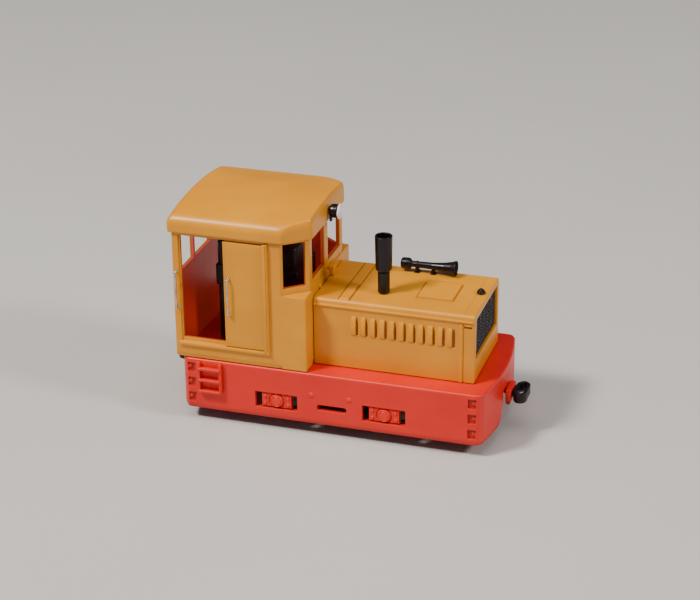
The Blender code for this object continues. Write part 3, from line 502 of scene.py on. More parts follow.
def makeFrame():
    # A plan of outward normals at every level: a point is its plan point, moved out by the relief.
    s = frameSettings
    low, high = span("frame_shell")
    length, width = high[0], high[1] - s["rivetProud"]
    bottom, top, roll = low[2], high[2], s["topRoll"]
    wheelX = centreOf("axle_rear")[0]
    boxes = [(x - s["axleboxHalf"], x + s["axleboxHalf"], *s["axleboxZ"]) for x in (wheelX, -wheelX)]
    slot = (*s["slotEnds"], *s["slotZ"])
    slotMiddle, slotReach = sum(s["slotZ"]) / 2, (s["slotZ"][1] - s["slotZ"][0]) / 2
    wide, tall = s["pocketHalf"]
    pockets = [(x - wide, x + wide, z - tall, z + tall) for x in (-s["pocketX"], s["pocketX"])
               for z in s["pocketZ"]]
    rivetLines = [x + d for x in s["rivetX"] for d in np.linspace(-0.75, 0.75, 9)]
    studLines = [x + d for x in (-s["pocketX"], s["pocketX"]) for d in np.linspace(-0.7, 0.7, 9)]
    slotLines = [x + d for x, way in ((slot[0], 1), (slot[1], -1))
                 for d in way * slotReach * (1 - np.cos(np.linspace(0, math.pi / 2, 7)))]
    xLines = lines(-length, length, 1.6, [b[i] for b in boxes + pockets for i in (0, 1)] + list(slot[:2]))
    xLines = merged(xLines, rivetLines, studLines, slotLines)
    notchY = s["notch"][0][1]
    yLines = lines(-width, width, 1.2, (-notchY, notchY))
    plan, normal = framePlan(s, length, width, xLines, yLines)
    studZ = [z + d for z in s["pocketZ"] for d in np.linspace(-0.7, 0.7, 7)]
    zLines = lines(bottom, top - roll, 1.5, [b[i] for b in boxes[:1] + pockets[:3] for i in (2, 3)]
                   + list(s["slotZ"]) + [s["notch"][-1][0]])
    zLines = merged(zLines, studZ, s["rivetZ"] + np.linspace(-0.75, 0.75, 9))
    zLines = zLines[zLines < top - roll]
    x, y = plan[:, :1], plan[:, 1:]
    z = np.broadcast_to(zLines, (len(plan), len(zLines))).copy()
    onSide = np.abs(y) > width - 0.01
    onEnd = np.abs(x) > length - s["bow"] - 1
    # Lines beside the slot bend to its round ends.
    toEnd = np.minimum(x - slot[0], slot[1] - x) / slotReach
    arc = np.sqrt(np.clip(1 - (1 - toEnd) ** 2, 0, 1))
    squeeze = np.where(onSide & (toEnd > 0) & (toEnd < 1), arc, 1.0)
    squeeze = np.where(onSide & (toEnd <= 0) & (toEnd > -1.5), np.clip(-toEnd / 1.5, 0, 1), squeeze)
    beyond = np.abs(z - slotMiddle) - slotReach
    away = np.where(beyond > 0, np.clip(beyond / 0.9, 0, 1), 0)
    z = slotMiddle + (z - slotMiddle) * (squeeze + (1 - squeeze) * away)
    # Lines beside the notch bend to its slanted sides.
    heights, halves = np.array(s["notch"]).T
    share = np.interp(z, heights, halves) / notchY
    fade = np.clip((np.abs(y) - notchY) / 4.0, 0, 1)
    bentY = np.where(onEnd, y * (share + (1 - share) * fade), y)
    bentX = np.where(onEnd, np.sign(x) * (length - s["bow"] * (bentY / width) ** 2), x)
    bentX = np.where(np.abs(bentY) > width - s["cornerRadius"], x, bentX)
    relief = np.zeros_like(z)
    for box in pockets:
        relief -= s["pocketDepth"] * patch(x, z, box, 0.12) * onSide
        around = (box[0] - 0.35, box[1] + 0.35, box[2] - 0.3, box[3] + 0.3)
        relief += s["pocketRim"] * (patch(x, z, around, 0.1) - patch(x, z, box, 0.1)) * onSide
        centre = ((box[0] + box[1]) / 2, (box[2] + box[3]) / 2)
        relief += s["studProud"] * dome(x, z, centre, s["studRadius"]) * onSide
    for rivet in s["rivetX"]:
        head = dome(x, z, (rivet, s["rivetZ"]), s["rivetRadius"]) ** 0.7
        relief += s["rivetProud"] * head * onSide
    for box in boxes:
        relief += rolled(x, z, box, 0.2) * onSide
    relief += rolled(x, z, slot, 0.12) * onSide
    foot = np.clip((bottom + s["footRadius"] - z) / s["footRadius"], 0, 1)
    relief -= s["footRadius"] * (1 - np.sqrt(1 - foot ** 2))
    outer = np.stack([bentX + normal[:, :1] * relief, bentY + normal[:, 1:] * relief, z], -1)
    turn = np.linspace(0, math.pi / 2, 7)
    inset = roll * (1 - np.cos(turn))
    lip = np.stack([x - normal[:, :1] * inset, y - normal[:, 1:] * inset,
                    np.broadcast_to(top - roll + roll * np.sin(turn), (len(plan), len(turn)))], -1)
    # The deck runs from the rolled edge to the nearest point of the motor's opening.
    openRear, openFront, openHalf = s["motorOpening"]
    edge = lip[:, -1:, :2]
    target = np.clip(edge, (openRear, -openHalf), (openFront, openHalf))
    share = np.array([0.1, 0.35, 0.7, 1.0])[None, :, None]
    deck = edge * (1 - share) + target * share
    deck = np.concatenate([deck, np.full((*deck.shape[:2], 1), top)], -1)
    grid = np.concatenate([outer, lip, deck], 1)
    thick = s["wallThickness"]
    base = np.concatenate([np.stack([bentX, bentY, z], -1), lip, deck], 1)
    inner = base.copy()
    byEnd = np.abs(base[..., 0]) > length - 4.4
    inner[..., 0] = np.where(byEnd, base[..., 0] - np.sign(base[..., 0]) * thick, base[..., 0])
    inner[..., 1] = np.clip(base[..., 1], thick - width, width - thick)
    inner[..., 2] = np.minimum(base[..., 2], top - thick)
    count = len(plan)
    middleX = (x + np.roll(x, -1, 0)) / 2
    middleY = (y + np.roll(y, -1, 0)) / 2
    middleZ = middles(zLines)[None, :]
    keep = np.ones((count, grid.shape[1] - 1), bool)
    side = np.abs(middleY) > width - 0.01
    sideCells = keep[:, :len(zLines) - 1]
    for box in boxes:
        sideCells &= ~(within(middleX, middleZ, box) & side)
    sideCells &= ~(within(middleX, middleZ, slot) & side)
    sideCells &= ~((np.abs(middleY) < notchY) & (middleZ < s["notch"][-1][0])
                   & (np.abs(middleX) > length - s["bow"] - 1))
    allRelief = np.concatenate([relief, np.zeros((count, grid.shape[1] - relief.shape[1]))], 1)
    bore, boss = s["bossRadii"]
    foot, roof = s["bossFoot"], top - thick
    boss = turned([(foot, bore), (foot + 0.4, bore), (foot + 0.4, boss), (roof, boss), (roof, bore)],
                  (centreOf("body_screw_front")[0], 0, 0), "Z", 32)
    piece("frameMoulding", [wall(grid, inner, keep, True, allRelief), boss, turnedRound(boss)],
          "frame_shell", "red_plastic")


makeFrame()
print("frame made")


cabSettings = {
    "guideReach": 1.05, "wallThickness": 1.2, "ledgeZ": 42.6, "upperFront": -7.1, "chamferStart": -14.0,
    "chamferHalf": 15.0, "cornerRadius": 0.4, "sillZ": 45.2, "cornerSillZ": 44.6, "windowTop": 57.8,
    "doorway": (-43.65, -30.4, 26.0, 57.4), "recess": (-44.2, -18.05, 24.9, 57.6), "recessDepth": 0.45,
    "rail": (-44.8, -17.6, 23.9, 24.8), "railReach": 0.8, "channel": (-18.05, -17.6),
    "lip": (-18.9, -17.75), "lipReach": 0.72, "skirtZ": 20.9, "cornerWindow": (0.95, 1.3),
    "frontWindow": (1.6, 12.6), "rearWindows": ((-17.6, -7.1), (-6.0, 6.0), (7.1, 17.6)),
    "stepY": (1.0, 4.6), "stepZ": (40.75, 43.6), "stepReach": 1.4,  # small box on the front wall
    "lugY": (-8.6, -7.0), "lugZ": (40.8, 41.9), "lugReach": 0.5,
}


def makeCab():
    # Two plans, one below the ledge and one above it, and a share that passes from the first to the second.
    s = cabSettings
    low, high = span("cab_body")
    rear, front, bottom, top = low[0], high[0], low[2], high[2]
    half, thick, ledge = high[1] - s["guideReach"], s["wallThickness"], s["ledgeZ"]
    start, foldHalf, upperFront = s["chamferStart"], s["chamferHalf"], s["upperFront"]
    chamfer = np.array([upperFront - start, half - foldHalf])
    chamferLength = np.linalg.norm(chamfer)
    chamfer /= chamferLength
    corner = s["cornerRadius"]
    near = corner * np.array([0, 0.25, 0.5, 0.75, 1.0])
    doorway, recess, rail = s["doorway"], s["recess"], s["rail"]

    # Lines round the plan, right side from the back to the middle of the front, then mirrored.
    halfway = chamferLength / 2
    sideEdges = (*doorway[:2], *recess[:2], *rail[:2], *s["channel"])
    sideX = merged(lines(rear, start, 2.0, sideEdges), rear + near)
    windowEdges = (s["cornerWindow"][0], chamferLength - s["cornerWindow"][1])
    chamferT = merged(lines(0, chamferLength, 1.2, windowEdges), [halfway],
                      halfway + corner * np.array([-0.5, -0.25, 0.25, 0.5]))
    frontY = lines(-foldHalf, foldHalf, 1.5, [sign * y for y in s["frontWindow"] for sign in (-1, 1)])
    rearEdges = [y for pair in s["rearWindows"] for y in pair]
    rearY = merged(lines(-half, half, 1.5, rearEdges), half - near, near - half)

    before, after = np.clip(chamferT / halfway, 0, 1), np.clip(chamferT / halfway - 1, 0, 1)
    lower = [np.stack([sideX, np.full(len(sideX), -half)], -1),
             np.stack([start + (front - start) * before, -half + (half - foldHalf) * after], -1),
             np.stack([np.full(len(frontY), front), frontY], -1)]
    upper = [lower[0],
             np.array([start, -half]) + chamferT[:, None] * chamfer,
             np.stack([np.full(len(frontY), upperFront), frontY], -1)]
    mitreSide = thick * math.tan(math.atan2(chamfer[1], chamfer[0]) / 2)
    mitreFront = thick * math.tan(math.atan2(chamfer[0], chamfer[1]) / 2)
    across = np.array([chamfer[1], -chamfer[0]])
    heldT = np.clip(chamferT, mitreSide, chamferLength - mitreFront)
    innerUpper = [np.stack([np.clip(sideX, rear + thick, start - mitreSide),
                            np.full(len(sideX), thick - half)], -1),
                  np.array([start, -half]) + heldT[:, None] * chamfer - across * thick,
                  np.stack([np.full(len(frontY), upperFront - thick),
                            np.clip(frontY, mitreFront - foldHalf, foldHalf - mitreFront)], -1)]
    normals = [np.tile([0.0, -1.0], (len(sideX), 1)), np.tile(across, (len(chamferT), 1)),
               np.tile([1.0, 0.0], (len(frontY), 1))]
    labels = [np.full(len(sideX), 0), np.full(len(chamferT), 1), np.full(len(frontY), 2)]
    alongs = [sideX, chamferT, frontY]

    def around(parts, rearPart, flip):
        mirroredParts = [part[::-1] * flip for part in parts[:2][::-1]]
        return np.concatenate([*parts, *mirroredParts, rearPart])

    flip = np.array([1.0, -1.0])
    rearRow = rearY[::-1][:, None] * [0, 1] + [rear, 0]
    lower, upper = around(lower, rearRow, flip), around(upper, rearRow, flip)
    innerRear = np.clip(rearRow, (rear + thick, thick - half), (np.inf, half - thick))
    innerUpper = around(innerUpper, innerRear, flip)
    normals = around(normals, np.tile([-1.0, 0.0], (len(rearY), 1)), flip)
    labels = around(labels, np.full(len(rearY), 3), 1)
    alongs = around(alongs, rearY[::-1], 1)
    innerLower = np.clip(lower, (rear + thick, thick - half), (front - thick, half - thick))

    def rounded(plan, corners):  # points near a square corner move onto a quarter circle
        plan = plan.copy()
        for cx, cy in corners:
            a, b = np.abs(plan[:, 0] - cx), np.abs(plan[:, 1] - cy)
            close = (np.minimum(a, b) < 1e-4) & (np.maximum(a, b) < corner + 1e-4)
            angle = math.pi / 4 * (1 + (b - a) / corner)
            plan[close, 0] = (cx - np.sign(cx - (rear + front) / 2) * corner * (1 - np.sin(angle)))[close]
            plan[close, 1] = (cy - np.sign(cy) * corner * (1 - np.cos(angle)))[close]
        return plan

    lower = rounded(lower, [(x, y) for x in (rear, front) for y in (-half, half)])
    upper = rounded(upper, [(rear, y) for y in (-half, half)])

    # Levels: the lower walls, the ledge, the upper walls.
    lowerZ = lines(bottom, ledge - 0.3, 2.2, (s["skirtZ"], rail[2], rail[3], recess[2], doorway[2]))
    upperZ = lines(ledge, top, 2.2, (s["cornerSillZ"], s["sillZ"], s["windowTop"], doorway[3]))
    edgeRows = [(ledge - 0.17, 0.01), (ledge - 0.06, 0.03), (ledge, 0.08), (ledge, 0.5)]
    z = np.concatenate([lowerZ, [row[0] for row in edgeRows], upperZ])
    share = np.concatenate([np.zeros(len(lowerZ)), [row[1] for row in edgeRows], np.ones(len(upperZ))])
    innerZ = np.where(share > 0, np.where(z > ledge, z, ledge - thick), np.minimum(z, ledge - thick))
    plan = lower[:, None] * (1 - share[None, :, None]) + upper[:, None] * share[None, :, None]
    innerPlan = np.where(share[None, :, None] > 0, innerUpper[:, None], innerLower[:, None])
    u, v = alongs[:, None], z[None, :]
    isSide, isChamfer = (labels == 0)[:, None], (labels == 1)[:, None]
    isFront, isRear = (labels == 2)[:, None], (labels == 3)[:, None]
    sunk = isSide * s["recessDepth"] * patch(u, v, recess)
    relief = isSide * (s["railReach"] * patch(u, v, rail, 0.1)
                       + s["guideReach"] * patch(u, v, (*s["channel"], recess[2] - 0.2, top - 0.3))) - sunk
    relief += isSide * rolled(u, v, doorway, 0.2)
    relief -= 0.1 * (1 - rise(v, s["skirtZ"], 0.15)) * (isSide | isFront | isRear)  # skirt line
    cornerBox = (*windowEdges, s["cornerSillZ"], s["windowTop"])
    relief += isChamfer * rolled(u, v, cornerBox, 0.2)
    frontBoxes = [(*sorted((sign * s["frontWindow"][0], sign * s["frontWindow"][1])), s["sillZ"],
                   s["windowTop"]) for sign in (-1, 1)]
    rearBoxes = [(*pair, s["sillZ"], s["windowTop"]) for pair in s["rearWindows"]]
    for boxes, here in ((frontBoxes, isFront), (rearBoxes, isRear)):
        for box in boxes:
            relief += here * rolled(u, v, box, 0.2)
    relief *= (share[None, :] == 0) | (share[None, :] == 1)
    outer = np.concatenate([plan + normals[:, None] * relief[..., None],
                            np.broadcast_to(z[None, :, None], (*relief.shape, 1))], -1)
    inner = np.concatenate([innerPlan, np.broadcast_to(innerZ[None, :, None], (*relief.shape, 1))], -1)

    cellU = (alongs + np.roll(alongs, -1))[:, None] / 2
    same = (labels == np.roll(labels, -1))[:, None]
    cellV = middles(z)[None, :]
    keep = np.ones((len(plan), len(z) - 1), bool)
    for boxes, here in (([doorway], isSide), ([cornerBox], isChamfer), (frontBoxes, isFront),
                        (rearBoxes, isRear)):
        for box in boxes:
            keep &= ~(within(cellU, cellV, box) & here & same)

    lipLow = (s["lip"][0], -half - s["guideReach"], rail[3] - 0.2)
    lip = block(lipLow, (s["lip"][1], -half - s["lipReach"], top - 0.3), 0.12)
    step, lug = (block((front - 0.3, s[name + "Y"][0], s[name + "Z"][0]),
                       (front + s[name + "Reach"], s[name + "Y"][1], s[name + "Z"][1]), radius)
                 for name, radius in (("step", 0.18), ("lug", 0.15)))
    shell = wall(outer, inner, keep, True, relief + sunk, False, insideMark)
    piece("cabMoulding", [shell, lip, mirrored(lip), step, lug], "cab_body", "yellow_plastic")


makeCab()
print("cab made")


roofSettings = {"shoulder": 60.8, "roll": 2.4, "archPower": 2.2, "chamferStart": -13.5, "chamferHalf": 15.0,
                "wallThickness": 2.2, "rearRadius": 1.4, "foldRadius": 0.9, "footRadius": 0.25,
                "frontShare": 0.32}  # how far the front edges roll, as a share of the sides' roll


def makeRoof():
    # Rings from the foot to the crown: the outline moved in, and the arch's height over each point.
    s = roofSettings
    low, high = span("cab_roof")
    rear, front, half = low[0], high[0], high[1]
    bottom, crown, roll = low[2], high[2], s["roll"]
    start, fold = s["chamferStart"], s["chamferHalf"]

    def outline(inset):  # the plan, each corner an arc, every straight run divided evenly
        slope = (half - fold) / (front - start)
        less = inset * s["frontShare"]
        ease = (less * math.hypot(1, slope) - inset) / slope
        nose = fold - less * (math.hypot(1, slope) - slope)
        corners = np.array([(rear + inset, 0), (rear + inset, inset - half), (start - ease, inset - half),
                            (front - less, -nose), (front - less, 0)])
        reach = [max(s["rearRadius"] - inset * 0.3, 0.5), s["foldRadius"] + inset, s["foldRadius"]]
        runs, last = [], corners[0]
        for before, corner, after, radius in zip(corners, corners[1:], corners[2:], reach):
            arc = softened([before, corner, after], radius, 8)[1:-1]
            runs += [last + (arc[0] - last) * np.linspace(0, 1, 9)[:-1, None], arc[:-1]]
            last = arc[-1]
        runs.append(last + (corners[-1] - last) * np.linspace(0, 1, 9)[:, None])
        right = np.concatenate(runs)
        return np.concatenate([right, (right * (1, -1))[::-1][1:-1]])

    def arch(y):
        return crown - (crown - s["shoulder"] - roll) * (np.abs(y) / half) ** s["archPower"]

    foot = s["footRadius"]
    rows = [(foot, bottom), (foot * 0.3, bottom + foot * 0.3), (0.0, bottom + foot)]
    rings = [np.column_stack([outline(inset), np.full(len(outline(inset)), z)]) for inset, z in rows]
    for z in np.linspace(bottom + foot, s["shoulder"], 5)[1:-1]:
        rings.append(np.column_stack([outline(0.0), np.full(len(outline(0.0)), z)]))
    for turn in np.radians(np.linspace(0, 90, 13)):
        ring = outline(roll * (1 - math.cos(turn)))
        rings.append(np.column_stack([ring, arch(ring[:, 1]) - roll * (1 - math.sin(turn))]))
    last = rings[-1]
    spine = np.column_stack([np.clip(last[:, 0], rear + 12, front - 14), np.zeros(len(last))])
    for share in np.linspace(0, 1, 25)[1:]:
        flat = last[:, :2] * (1 - share) + spine * share
        rings.append(np.column_stack([flat, arch(flat[:, 1])]))
    outer = np.stack(rings, 1)
    thick = s["wallThickness"]
    clipLow, clipHigh = (rear + thick, -half + thick), (front - thick, half - thick)
    innerXY = np.clip(outer[..., :2], clipLow, clipHigh)
    slope = (half - fold) / (front - start)
    cut = (innerXY[..., 0] - start) * slope + np.abs(innerXY[..., 1]) - half + thick
    over = np.maximum(cut, 0)
    innerXY = innerXY - np.stack([over * 0.6, over * 0.5 * np.sign(innerXY[..., 1])], -1)
    inner = np.concatenate([innerXY, np.minimum(outer[..., 2:], s["shoulder"] + 0.6)], -1)
    shell = wall(outer, inner, None, True, None, True, insideMark)
    piece("roofMoulding", [shell], "cab_roof", "yellow_plastic", sharp=50)


makeRoof()
print("roof made")


hoodSettings = {
    "louvreProud": 0.6, "hatchProud": 0.3, "wallThickness": 1.2, "frontThickness": 2.0,
    "cornerRadius": 1.2, "frontEdge": 0.4, "openingEdge": 0.25,
    "opening": (12.3, 26.3, 38.7), "louvres": 11, "firstLouvre": 5.3, "louvreStep": 2.79,
    "louvreWidth": 1.5, "louvreZ": (30.3, 36.1), "slotWidth": 0.78, "slotDepth": 0.5,
    "bead": (38.3, 38.9), "beadReach": 0.45, "rib": (36.1, 36.9), "ribReach": 0.35, "noseJoint": 37.15,
    "strap": (0.8, 3.5), "strapProud": 0.22, "strapGroove": 0.3, "lug": (4.3, 5.0), "lugInset": (4.5, 0.9),
    "hatch": (21.5, 31.7, 5.4), "hatchGap": 0.35, "hatchGroove": 0.25, "jointDepth": (0.12, 0.1),
    "catch": (37.4, 39.5, 36.6, 37.3), "catchDepth": 0.4, "catchLip": 0.3,
}


def makeHood():
    # One section carried along the hood, moved out by the relief, then drawn in over the front.
    s = hoodSettings
    low, high = span("hood_body")
    rear, front, bottom = low[0], high[0], low[2]
    half, top = high[1] - s["louvreProud"], high[2] - s["hatchProud"]
    radius, thick = s["cornerRadius"], s["wallThickness"]
    centres = s["firstLouvre"] + np.arange(s["louvres"]) * s["louvreStep"]
    reach = s["louvreWidth"] / 2
    beadLow, beadHigh = s["bead"]
    hatchRear, hatchFront, hatchHalf = s["hatch"]
    joint = (s["noseJoint"] - 0.08, s["noseJoint"] + 0.14)
    strapLow, strapHigh = s["strap"]
    catchRear, catchFront, catchLow, catchHigh = s["catch"]

    # Lines round the section: up the right side, over the top, down the left side, back underneath.
    sideZ = lines(bottom, top - radius, 2.4, (*s["louvreZ"], beadLow, beadHigh, catchLow, catchHigh))
    topY = lines(-half + radius, half - radius, 2.0, (-hatchHalf, hatchHalf, 1.4 - half, half - 1.4))
    turn = np.radians(np.linspace(0, 90, 6))[1:-1]
    right = np.concatenate([
        np.column_stack([np.full(len(sideZ), -half), sideZ]),
        np.column_stack([-half + radius - radius * np.cos(turn), top - radius + radius * np.sin(turn)])])
    over = np.column_stack([topY, np.full(len(topY), top)])
    under = np.column_stack([np.linspace(half, -half, 14)[1:-1], np.full(12, bottom)])
    section = np.concatenate([right, over, (right * (-1, 1))[::-1], under])
    normal = np.zeros_like(section)
    normal[:, 0] = np.where(np.abs(section[:, 0]) > half - 0.01, np.sign(section[:, 0]), 0)
    normal[:, 1] = np.where(section[:, 1] > top - 0.01, 1, 0)

    slotEnd = reach + s["slotWidth"]
    offsets = np.array([-reach - 0.12, -reach, -reach + 0.15, -reach + 0.4, reach - 0.3, reach - 0.1,
                        reach - 0.03, reach + 0.04, reach + 0.2, slotEnd - 0.1, slotEnd + 0.05])
    edges = (*s["rib"], s["noseJoint"], strapLow, strapHigh, 0.5, 3.85, 4.9, hatchRear, hatchFront,
             catchRear, catchFront, front - 0.6)
    xLines = lines(rear, front - s["frontEdge"], 1.8, edges)
    xLines = merged(xLines, (centres[:, None] + offsets).ravel())
    x = xLines[None, :]
    y, z = section[:, :1], section[:, 1:]
    onSide, onTop = np.abs(normal[:, :1]) > 0, normal[:, 1:] > 0
    relief = np.zeros((len(section), len(xLines)))
    side = s["beadReach"] * band(z, beadLow, beadHigh, 0.12) * (1 - rise(x, front - 0.5, 0.1))
    side = side + s["ribReach"] * band(x, *s["rib"], 0.1) * (1 - rise(z, beadLow - 0.3, 0.1))
    side = side - s["jointDepth"][0] * band(x, *joint, 0.06) * (z < beadLow)
    index = np.clip(np.round((x - s["firstLouvre"]) / s["louvreStep"]), 0, s["louvres"] - 1)
    local = x - (s["firstLouvre"] + index * s["louvreStep"])
    cowl = rise(local, -reach + 0.1, 0.28) * (1 - rise(local, reach - 0.03, 0.06))
    ends = rise(z, s["louvreZ"][0] + 0.2, 0.25) * (1 - rise(z, s["louvreZ"][1] - 0.28, 0.32))
    side = side + s["louvreProud"] * cowl * ends
    slot = band(local, reach + 0.02, slotEnd, 0.06)
    side = side - s["slotDepth"] * slot * band(z, s["louvreZ"][0] + 0.1, s["louvreZ"][1] - 0.3, 0.2)
    catchTop = (catchRear + 0.2, catchFront, catchHigh, catchHigh + 0.7)
    side = side - s["catchDepth"] * patch(x, z, s["catch"]) + s["catchLip"] * patch(x, z, catchTop, 0.1)
    crest = s["strapProud"] * patch(x, np.abs(y), (strapLow, strapHigh, -1, half - radius), 0.1)
    crest = crest - s["strapGroove"] * (band(x, strapLow - 0.4, strapLow - 0.12, 0.06)
                                        + band(x, strapHigh + 0.14, strapHigh + 0.44, 0.06))
    lugBox = (*s["lug"], half - s["lugInset"][0], half - s["lugInset"][1])
    crest = crest + 0.1 * patch(x, np.abs(y), lugBox, 0.1)
    gap = s["hatchGap"]
    hatch = patch(x, y, (hatchRear, hatchFront, -hatchHalf, hatchHalf), 0.1)
    groove = patch(x, y, (hatchRear - gap, hatchFront + gap, -hatchHalf - gap, hatchHalf + gap), 0.06)
    crest = crest + s["hatchProud"] * hatch - s["hatchGroove"] * groove * (1 - hatch)
    crest = crest - s["jointDepth"][1] * band(x, *joint, 0.06)
    relief += np.where(onSide, side, 0) + np.where(onTop, crest, 0)
    body = np.stack([np.broadcast_to(x, relief.shape), y + normal[:, :1] * relief,
                     z + normal[:, 1:] * relief], -1)

    # The front runs from the section to the nearest point of the opening, with both edges rolled.
    openHalf, openLow, openHigh = s["opening"]
    target = np.clip(section, (-openHalf, openLow), (openHalf, openHigh))
    gap = np.linalg.norm(target - section, axis=1)[:, None]
    towards = (target - section) / gap
    edge, rim = s["frontEdge"], s["openingEdge"]
    steps = np.linspace(0, math.pi / 2, 5)[1:]
    insets = [np.minimum(edge * (1 - math.cos(t)), gap) for t in steps]
    depths = [front - edge + edge * math.sin(t) for t in steps]
    insets += [gap * 0.5] + [gap - rim + rim * math.sin(t) for t in np.linspace(0, math.pi / 2, 5)]
    depths += [front] + [front - rim + rim * math.cos(t) for t in np.linspace(0, math.pi / 2, 5)]
    insets += [gap, gap]
    depths += [front - 1.0, front - s["frontThickness"]]
    face = np.stack([np.column_stack([np.full(len(section), depth), section + towards * inset])
                     for inset, depth in zip(insets, depths)], 1)
    outer = np.concatenate([body, face], 1)
    inner = outer.copy()
    inner[..., 1] = np.clip(section[:, :1], -half + thick, half - thick)
    inner[..., 2] = np.minimum(section[:, 1:], top - thick)
    lowest, highest = (-half + thick, bottom), (half - thick, top - thick)
    inner[:, len(xLines):, 1:] = np.clip(face[..., 1:], lowest, highest)
    inner[..., 0] = np.minimum(outer[..., 0], front - s["frontThickness"])
    keep = np.ones((len(section), outer.shape[1] - 1), bool)
    keep[-len(under) - 1:, :len(xLines) - 1] = False
    allRelief = np.concatenate([relief, np.zeros(face.shape[:2])], 1)
    piece("hoodMoulding", [wall(outer, inner, keep, True, allRelief)], "hood_body", "yellow_plastic")


makeHood()
print("hood made")


grilleSettings = {"pitch": (1.2, 1.0), "bar": 0.15, "barProud": 0.36, "panelDepth": 0.45, "border": 0.35}


def makeGrille():
    # Two families of slanted round bars over a sunk panel, inside a plain border.
    s = grilleSettings
    low, high = span("radiator_grille")
    y = np.linspace(low[1], high[1], 215)[:, None]
    z = np.linspace(low[2], high[2], 107)[None, :]
    wide, tall = s["pitch"]
    relief = np.zeros((y.shape[0], z.shape[1]))
    for sign in (-1, 1):
        phase = y / wide + sign * z / tall
        off = np.abs(phase - np.round(phase)) / s["bar"]
        relief = np.maximum(relief, s["barProud"] * np.sqrt(np.clip(1 - off ** 2, 0, 1)))
    edge = np.minimum(np.minimum(y - low[1], high[1] - y), np.minimum(z - low[2], high[2] - z))
    relief = np.where(edge < s["border"], s["barProud"] + 0.03, relief)
    face = np.stack([high[0] - s["panelDepth"] + relief, y + 0 * z, z + 0 * y], -1)
    back = face.copy()
    back[..., 0] = low[0]
    mesh = wall(face, back, None, False, relief - s["barProud"])
    piece("grilleMesh", [mesh], "radiator_grille", "grille_black")


makeGrille()
print("grille made")


sides = {"right": False, "left": True}  # the left side is the right side mirrored

doorSettings = {"edge": 0.16, "stile": 0.55, "groove": 0.07}


def makeDoors():
    # A flat panel with its edges rolled back in quarter circles and one groove beside its rear stile.
    edge, stile = doorSettings["edge"], doorSettings["stile"]
    low, high = span("door_right")
    fine = np.array([0.03, 0.09, 0.16])
    x = lines(low[0], high[0], 1.5, (low[0] + stile,), (-0.1, -0.04, 0.04, 0.1))
    x = merged(x, low[0] + fine, high[0] - fine)
    z = merged(lines(low[2], high[2], 2.5), low[2] + fine, high[2] - fine)
    u, v = x[:, None], z[None, :]
    near = np.minimum(np.minimum(u - low[0], high[0] - u), np.minimum(v - low[2], high[2] - v))
    fall = edge * (1 - np.sqrt(1 - np.clip(1 - near / edge, 0, 1) ** 2))
    groove = doorSettings["groove"] * band(u, low[0] + stile - 0.06, low[0] + stile + 0.06, 0.04)
    outer = np.stack([u + 0 * v, low[1] + fall + groove, v + 0 * u], -1)
    inner = np.stack([u + 0 * v, high[1] + 0 * (u + v), v + 0 * u], -1)
    panel = wall(outer, inner, None, False, -fall - groove)
    for side, flip in sides.items():
        piece(f"slidingDoor{side.title()}", [mirrored(panel) if flip else panel], f"door_{side}",
              "yellow_plastic", f"{side}_door")


handleSettings = {"bend": 0.45, "collar": ((0.0, 0.0), (0.0, 0.42), (0.1, 0.46), (0.2, 0.34), (0.2, 0.0))}


def makeHandles():
    # A round wire along a bent path, with a small collar (reach from the wall, radius) at each foot.
    for side in sides:
        for node, body in ((f"door_handle_{side}", f"{side}_door"), (f"pillar_handrail_{side}", "chassis")):
            low, high = span(node)
            radius = (high[0] - low[0]) / 2
            inward = 1 if side == "right" else -1
            foot, out = (high[1], low[1] + radius) if side == "right" else (low[1], high[1] - radius)
            middle, z0, z1 = low[0] + radius, low[2] + radius, high[2] - radius
            path = softened([(middle, foot, z0), (middle, out, z0), (middle, out, z1), (middle, foot, z1)],
                            handleSettings["bend"], 8)
            parts = [swept(path, roundSection(radius, 16), (1, 0, 0))]
            collar = [(foot - inward * depth, width) for depth, width in handleSettings["collar"]]
            parts += [turned(collar, (middle, 0, z), "Y", 20) for z in (z0, z1)]
            name = "".join(word.title() if i else word for i, word in enumerate(node.split("_"))) + "Wire"
            piece(name, parts, node, "steel_wire", body, 60)


makeDoors()
makeHandles()
print("doors made")


axleboxSettings = {
    "edge": 0.2, "clearance": 0.3, "coverRadius": 2.0, "coverProud": 0.55, "ring": (1.3, 1.5),
    "ringDepth": 0.16, "gutterDepth": 0.2, "boltX": 3.44, "boltZ": 1.1, "boltRadius": 0.55,
    "boltProud": 0.4, "rib": (2.35, 2.75), "ribProud": 0.12, "plateDepth": 1.4,
}


